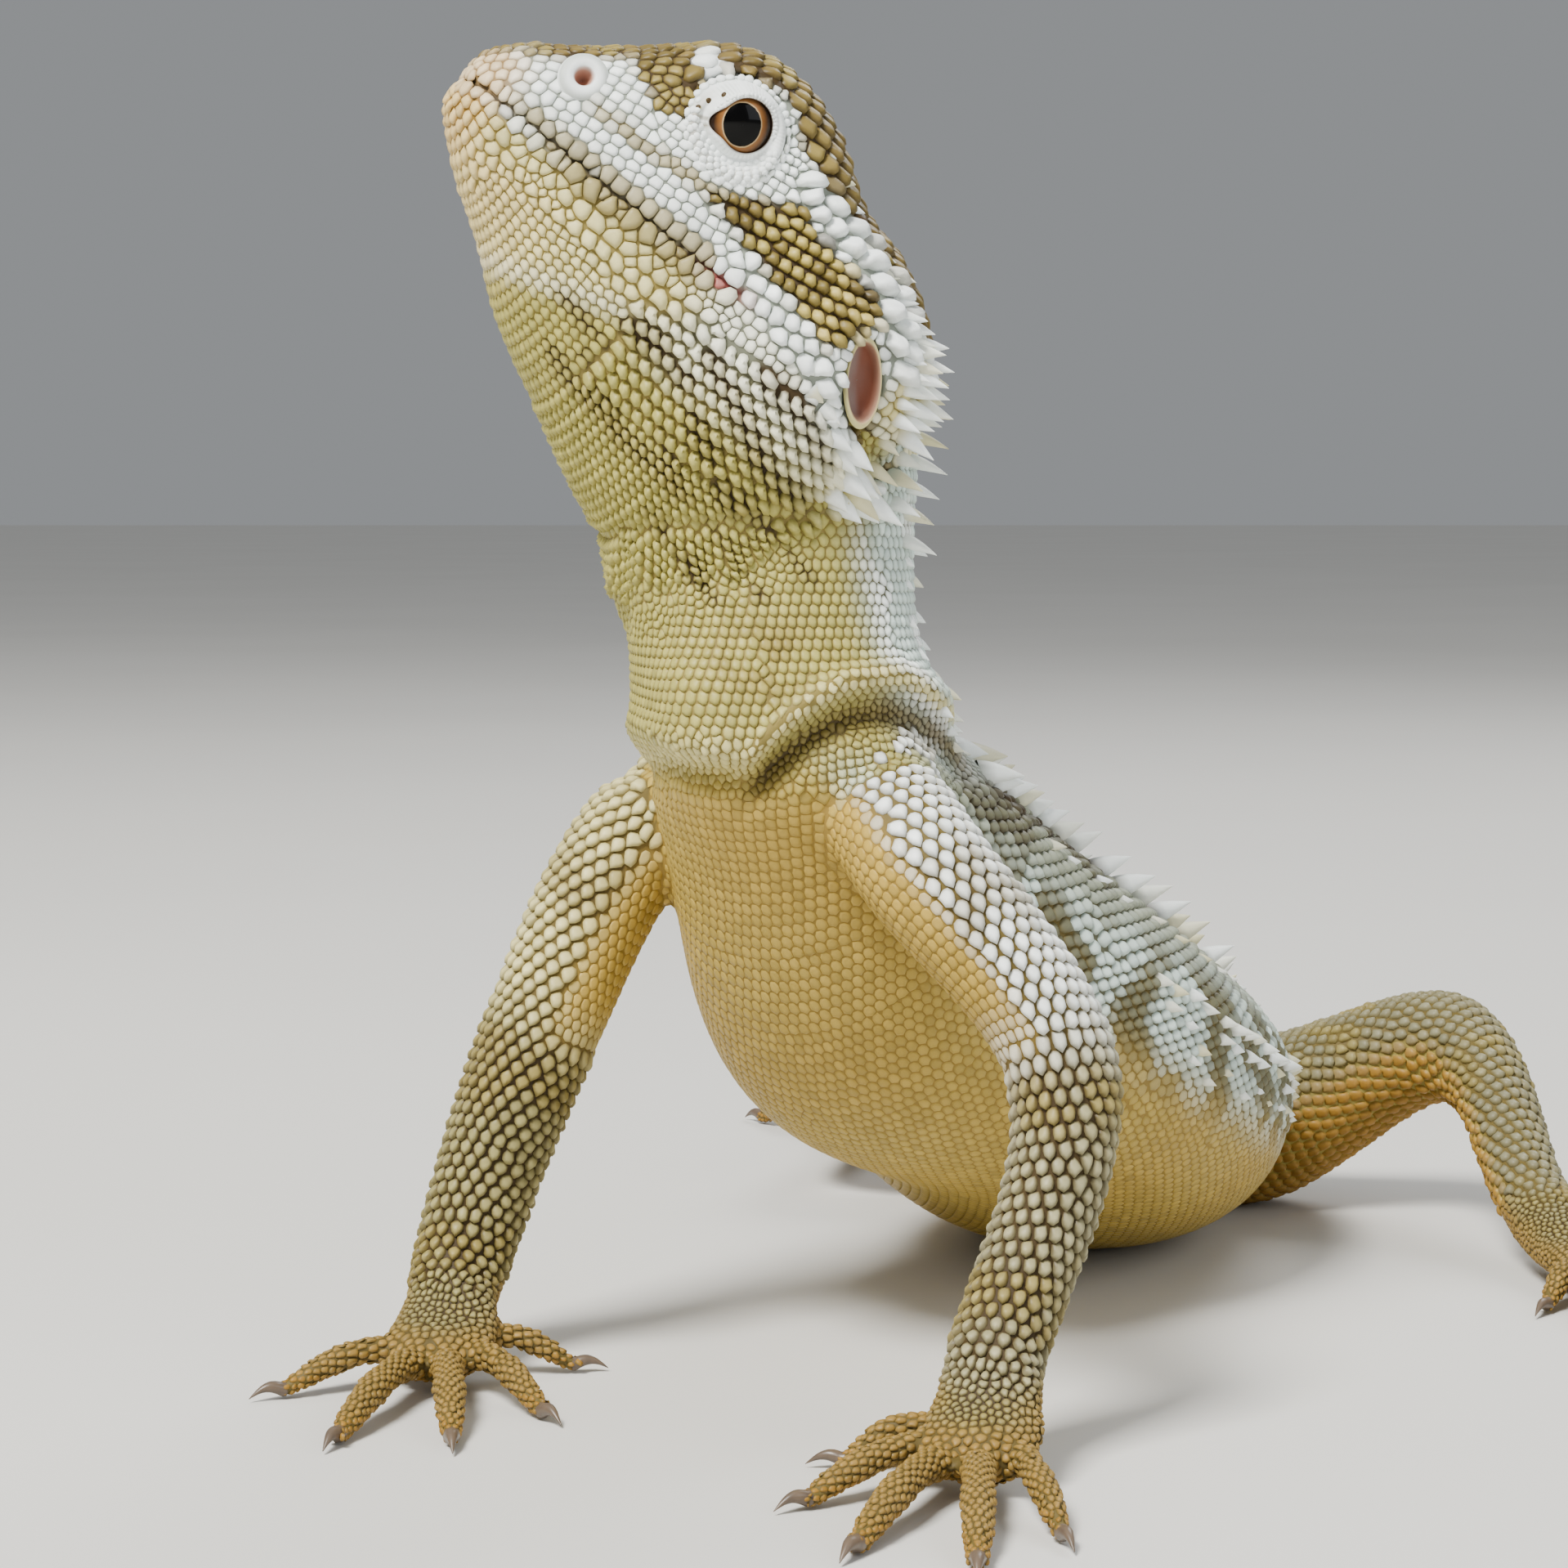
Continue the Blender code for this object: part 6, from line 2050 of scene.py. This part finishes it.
@dataclass
class Eyes:
    """Eyeballs and their lids: a thick white upper lid, and a lower one with beads over a soft bag."""

    shape: Frame
    gaze: tuple = (0.0, 1.0, -0.09)
    upright: tuple = (0.617, 0.0, 0.787)
    dark_beads: tuple = ((0.234, 3.0), (-0.10, 3.46), (-0.33, 4.0), (-0.50, 4.7))
    bead_rows: tuple = (
        (0.10, -0.25, 2.9, 26, 0.15), (0.20, -0.1, 2.8, 22, 0.18), (0.34, 3.35, 5.55, 13, 0.33),
        (0.50, 3.25, 5.7, 14, 0.29), (0.64, 3.35, 5.9, 16, 0.31), (0.78, 3.1, 6.1, 17, 0.34),
        (0.93, 0.1, 6.2, 33, 0.40),
    )
    bead_rings: tuple = ((1.0, -0.35), (0.88, 0.22), (0.5, 0.46))
    bead_sides: int = 10
    columns: int = 128
    rings: int = 30
    ball_grid: tuple = (72, 96)

    @staticmethod
    def opening(turn: Array) -> Array:
        """Radius of the opening: round, drawn out to the front corner by a high power of the cosine."""
        return 2.12 + 0.85 * np.maximum(np.cos(turn + 0.57), 0) ** 12

    @staticmethod
    def outer(turn: Array) -> Array:
        """Radius at which the lids meet the face: wider in front and below."""
        return 4.25 + 0.6 * np.cos(turn + 0.57) - 0.5 * np.cos(turn - 0.9)

    @staticmethod
    def centre(shape: Frame) -> Array:
        """Middle of the opening in the head's frame, on the left side."""
        return np.array(shape.eye) + [-0.42, 0, -0.02]

    @staticmethod
    def share(shape: Frame, f: Array, u: Array) -> Array:
        """How far from the middle of the eye points are, as a share of the lids' outer radius."""
        middle = Eyes.centre(shape)
        x, y = f - middle[0], u - middle[2]
        return np.hypot(x, y) / Eyes.outer(np.arctan2(y, x))

    def ball(self, maker: Maker, side: int, name: str, finish: bpy.types.Material) -> bpy.types.Object:
        """One eyeball: a sphere of rings round its gaze, with the distance from it kept for the finish."""
        radius = self.shape.eye_radius - 0.02
        axis = unit(np.array(self.gaze) * [1, side, 1])
        high = unit(np.array(self.upright) - axis * (np.array(self.upright) @ axis))
        wide = np.cross(axis, high)
        rings, columns = self.ball_grid
        polar = np.repeat(np.linspace(0.004, math.pi - 0.004, rings), columns)
        turn = np.tile(turns(columns), rings)
        x, y = np.sin(polar) * np.cos(turn), np.sin(polar) * np.sin(turn)
        local = (np.cos(polar)[:, None] * axis + x[:, None] * wide + y[:, None] * high) * radius
        centre = np.array(self.shape.eye) * [1, side, 1]
        points = self.shape.from_head(local + centre)
        faces = facing(points, tube_faces(rings, columns), self.shape.from_head(centre[None])[0], 3000)
        thing = maker.piece(name, points, faces, finish, Slot.EYE)
        away = np.hypot(x / 0.94, y / 1.06) + 2 * (polar > math.pi / 2)
        layer = thing.data.attributes.new("gaze", "FLOAT", "POINT")
        layer.data.foreach_set("value", away.astype(np.float32))
        return thing

    def lid(self, share: Array, turn: Array, side: int) -> Array:
        """Points of the lids in the maker's frame.

        From the opening's edge, where they lie on the eyeball, they run down to the face. The upper lid
        swells as a sine and has a groove behind it; the lower one has a low band, then a soft bag.

        Args:
            share: From 0 at the edge to 1 in the skin.
            turn: Round the eye, from its front upwards.
            side: 1 for the left eye.

        Returns:
            The points.
        """
        inner, outer = self.opening(turn), self.outer(turn)
        radius = inner + (outer - inner) * share
        middle = self.centre(self.shape)
        f, u = middle[0] + radius * np.cos(turn), middle[2] + radius * np.sin(turn)
        face = self.shape.side_out(f.ravel(), u.ravel()).reshape(f.shape) - 0.25
        near = np.hypot(f - self.shape.eye[0], u - self.shape.eye[2])
        ball = self.shape.eye[1] + np.sqrt(np.maximum(self.shape.eye_radius**2 - near**2, 0.0))
        edge = np.maximum(np.where(near < 3.25, ball, 0), self.shape.eye[1] + 1.6)
        upper = step(-0.45, 0.25, np.sin(turn - 0.25))
        thick = upper * 0.85 * np.sin(math.pi * np.clip(share * 1.25, 0, 1)) ** 0.7
        thick = thick - upper * 0.25 * hump(share, 0.86, 0.07)
        soft = 0.22 * hump(share, 0.16, 0.12) + 0.40 * hump(share, 0.62, 0.2) - 0.18 * hump(share, 0.92, 0.07)
        soft = (1 - upper) * soft
        base = edge * (1 - step(0.0, 1.0, share)) + face * step(0.0, 1.0, share)
        out = np.maximum(base + thick + soft, np.where(near < 3.25, ball + 0.06, 0)) + 0.06
        sink = 0.45 * step(0.93, 1.0, share)
        local = np.stack([f, (out - sink) * side, u], -1)
        return self.shape.from_head(local.reshape(-1, 3)).reshape(local.shape)

    def lids(self, maker: Maker, side: int, name: str, finish: bpy.types.Material) -> None:
        """The lids of one eye as a smooth fold."""
        shares = np.linspace(0, 1, self.rings)
        share, around = np.meshgrid(shares, turns(self.columns), indexing="ij")
        way = self.shape.head_axes.T @ np.array([0, side, 0])
        surface = self.lid(share, around, side)
        points = np.concatenate([surface[:1] - way * 0.4, surface]).reshape(-1, 3)
        share, around = (np.concatenate([v[:1], v]).ravel() for v in (share, around))
        middle = self.shape.from_head((self.centre(self.shape) * [1, side, 1] - [0, 6.0 * side, 0])[None])[0]
        faces = facing(points, tube_faces(self.rings + 1, self.columns), middle, 14 * self.columns)
        paint = Paint(len(points), HUES.white, HUES.white)
        lower = step(0.1, -0.5, np.sin(around - 0.25))
        # Lower lid's bag: grey-brown, partly its own colour and partly painted shade under the eye.
        paint.lay(lower * hump(share, 0.66, 0.2) * 0.7, HUES.lid_bag_and_shade)
        paint.lay(hump(share, 0.88, 0.06) * 0.6, HUES.crease)
        paint.lay(step(0.06, 0.0, share), HUES.lid_edge)
        creases = np.sin(around * 46) * hump(share, 0.14, 0.08) * lower
        paint.lay(np.clip(creases, 0, 1) * 0.35, HUES.crease)
        arc = 0.35 * np.sin(around * 60) * (1 - lower) * step(0.1, 0.2, share) * step(0.8, 0.6, share)
        paint.lay(np.clip(arc, 0, 1), HUES.crease)
        turned = (around + math.pi) % (2 * math.pi) - math.pi
        front = hump(turned, -0.62, 0.24) * step(0.0, 0.1, share) * step(1.0, 0.6, share)
        paint.lay(front * (0.45 + 0.4 * np.sin(turned * 34)), HUES.olive)
        maker.piece(f"lids_{name}", points, faces, finish, Slot.SKIN, paint.tint)

    def beads(self, maker: Maker, side: int, name: str, finish: bpy.types.Material) -> None:
        """Small domes on the lids: granules on the upper edge, rows on the lower lid, and the border."""
        draw = np.random.default_rng(SEED + 90)
        bearings, shares, sizes = [], [], []
        for share, first, last, count, size in self.bead_rows:
            around = np.linspace(first, last, count) + draw.normal(0, 0.01, count)
            bearings.append(around)
            shares.append(share + draw.normal(0, 0.008, count))
            sizes.append(size * draw.uniform(0.88, 1.1, count))
        count = sum(len(v) for v in bearings)
        place, radius = np.array(self.dark_beads).T
        inner, outer = self.opening(place), self.outer(place)
        bearings.append(place)
        shares.append((radius - inner) / (outer - inner))
        sizes.append(np.full(len(place), 0.26))
        turn, share, size = (np.concatenate(v) for v in (bearings, shares, sizes))
        root = self.lid(share, turn, side)
        around = self.lid(share, turn + 0.02, side) - root
        outward = self.lid(share + 0.02, turn, side) - root
        normals = unit(np.cross(around, outward))
        normals = normals * np.sign(normals @ (self.shape.head_axes.T @ np.array([0, side, 0])))[:, None]
        ahead = unit(around)
        aside = np.cross(normals, ahead)
        sides = self.bead_sides
        angle = turns(sides)
        flat = np.cos(angle)[None, :, None] * ahead[:, None] + np.sin(angle)[None, :, None] * aside[:, None]
        rings = []
        for wide, level in self.bead_rings:
            ring = root[:, None] + flat * (size * wide)[:, None, None]
            rings.append(ring + normals[:, None] * (size * level)[:, None, None])
        points = np.concatenate([*rings, (root + normals * (size * 0.52)[:, None])[:, None]], axis=1)
        tints = np.ones((len(root), points.shape[1], 3)) * np.array(HUES.white)
        tints[:, :sides] = HUES.crease
        tints[count:, sides:] = HUES.brown
        tints[count:, :sides] = HUES.cream
        faces = Coat.faces(len(root), sides)
        tints = tints.reshape(-1, 3)
        maker.piece(f"lid_beads_{name}", points.reshape(-1, 3), faces, finish, Slot.SKIN, tints)

    def build(self, maker: Maker, gloss: bpy.types.Material, hide: bpy.types.Material) -> None:
        """Both eyes with their lids."""
        for side, name in ((1, "left"), (-1, "right")):
            thing = self.ball(maker, side, f"eyeball_{name}", gloss)
            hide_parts(f"eye_{name}")
            self.lids(maker, side, name, hide)
            self.beads(maker, side, name, hide)


@dataclass
class Claws:
    """The twenty claws."""

    feet: Feet

    def build(self, maker: Maker, finish: bpy.types.Material) -> None:
        """Makes the claws of each hand and foot as one piece."""
        for region in self.feet.feet:
            grids = self.feet.claws(region)
            rings, columns = grids[0].shape[:2]
            points = np.concatenate([grid.reshape(-1, 3) for grid in grids])
            one = tube_faces(rings, columns)
            faces = np.concatenate([one + n * rings * columns for n in range(len(grids))])
            faces = facing(points, faces, grids[0][0].mean(axis=0))
            points[:, 2] = np.maximum(points[:, 2], FLOOR_GAP)
            maker.piece(f"claws_{region.name.lower()}", points, faces, finish, Slot.SKIN)


@dataclass
class Studio:
    """Plain pale floor, soft lights and a camera at the photo's viewing angle."""

    place: Place
    camera_at: tuple = (0.0, -285.0, 77.1)
    pitch: float = math.radians(5.0)
    lens: float = 78.83
    sensor: float = 36.0
    clip: Pair = (0.01, 50.0)
    floor: float = 6.0
    aim: tuple = (0.0, 10.0, 60.0)
    lights: tuple = (
        ("key", (-0.35, -0.50, 0.80), 0.32, 23.5, (1.0, 0.98, 0.93)),
        ("fill", (0.65, -0.45, 0.35), 0.6, 2.6, (0.92, 0.96, 1.0)),
        ("rim", (0.35, 0.55, 0.6), 0.4, 3.6, (1.0, 1.0, 1.0)),
    )
    sun_way: tuple = (0.35, 0.50, -0.80)
    sun_power: float = 0.45
    sun_width: float = math.radians(60.0)
    sky: Colour = (0.78, 0.81, 0.84)
    sky_power: float = 0.36

    def build(self) -> None:
        """Makes the floor, the lights and the camera."""
        mesh = bpy.data.meshes.new("floor")
        half = self.floor
        corners = [(-half, -half, 0), (half, -half, 0), (half, half, 0), (-half, half, 0)]
        mesh.from_pydata(corners, [], [(0, 1, 2, 3)])
        mesh.materials.append(Matt().make())
        floor = put("floor", mesh)
        for values in self.lights:
            self.light(*values)
        self.sun()
        self.world()
        self.camera()

    def light(self, name: str, at: tuple, size: float, power: float, colour: Colour) -> None:
        """A square soft light that looks at the animal's chest."""
        data = bpy.data.lights.new(name, "AREA")
        data.shape, data.size, data.energy, data.color = "SQUARE", size, power, colour
        aim = Vector(self.place.metres(np.array(self.aim)))
        spot = aim + Vector(at)
        turn = (aim - spot).to_track_quat("-Z", "Y").to_matrix().to_4x4()
        put(name, data).matrix_world = Matrix.Translation(spot) @ turn

    def sun(self) -> None:
        """A weak, wide sun that evens out the shadows."""
        data = bpy.data.lights.new("even", "SUN")
        data.energy, data.angle = self.sun_power, self.sun_width
        put("even", data).matrix_world = Vector(self.sun_way).to_track_quat("-Z", "Y").to_matrix().to_4x4()

    def world(self) -> None:
        """A plain pale sky."""
        world = bpy.data.worlds.new("studio")
        world.use_nodes = True
        back = world.node_tree.nodes["Background"]
        back.inputs["Color"].default_value = (*self.sky, 1.0)
        back.inputs["Strength"].default_value = self.sky_power
        bpy.context.scene.world = world

    def camera(self) -> None:
        """The camera, at the place and with the pitch that the photo was read with."""
        data = bpy.data.cameras.new("camera")
        data.lens, data.sensor_width, data.sensor_fit = self.lens, self.sensor, "HORIZONTAL"
        data.clip_start, data.clip_end = self.clip
        spot = Matrix.Translation(Vector(self.place.metres(np.array(self.camera_at))))
        camera = put("camera", data)
        camera.matrix_world = spot @ Matrix.Rotation(math.pi / 2 - self.pitch, 4, "X")
        bpy.context.scene.camera = camera


def main() -> None:
    """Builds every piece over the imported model."""
    logging.basicConfig(level=logging.INFO, format="%(message)s")
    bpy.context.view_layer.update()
    shape, feet, markings = Frame(), Feet(), Markings()
    place = Place.from_eye(shape)
    maker, atlas = Maker(place), Atlas(shape, feet)
    Studio(place).build()
    scales = Hide("scale_hide", 0.44, 0.18).make()
    between = Hide("skin_between", 0.62, 0.30, 0.25).make()
    points, faces = Skin(shape, feet).build()
    where = atlas.find(points)
    skin = maker.piece("skin", points, faces, between, Slot.SKIN, markings.paint(where).crease * 0.8)
    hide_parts(*[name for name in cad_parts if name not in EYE_NODES])
    scatter = Scatter(shape, atlas, feet, points, faces, where)
    Coat(scatter, scatter.build(), markings).build(maker, scales)
    Spines(shape, scatter, markings).build(maker, scales)
    Collars(shape).build(maker, scales)
    Eyes(shape).build(maker, EyeGloss().make(), scales)
    Claws(feet).build(maker, Horn().make())


if __name__ == "__main__":
    main()
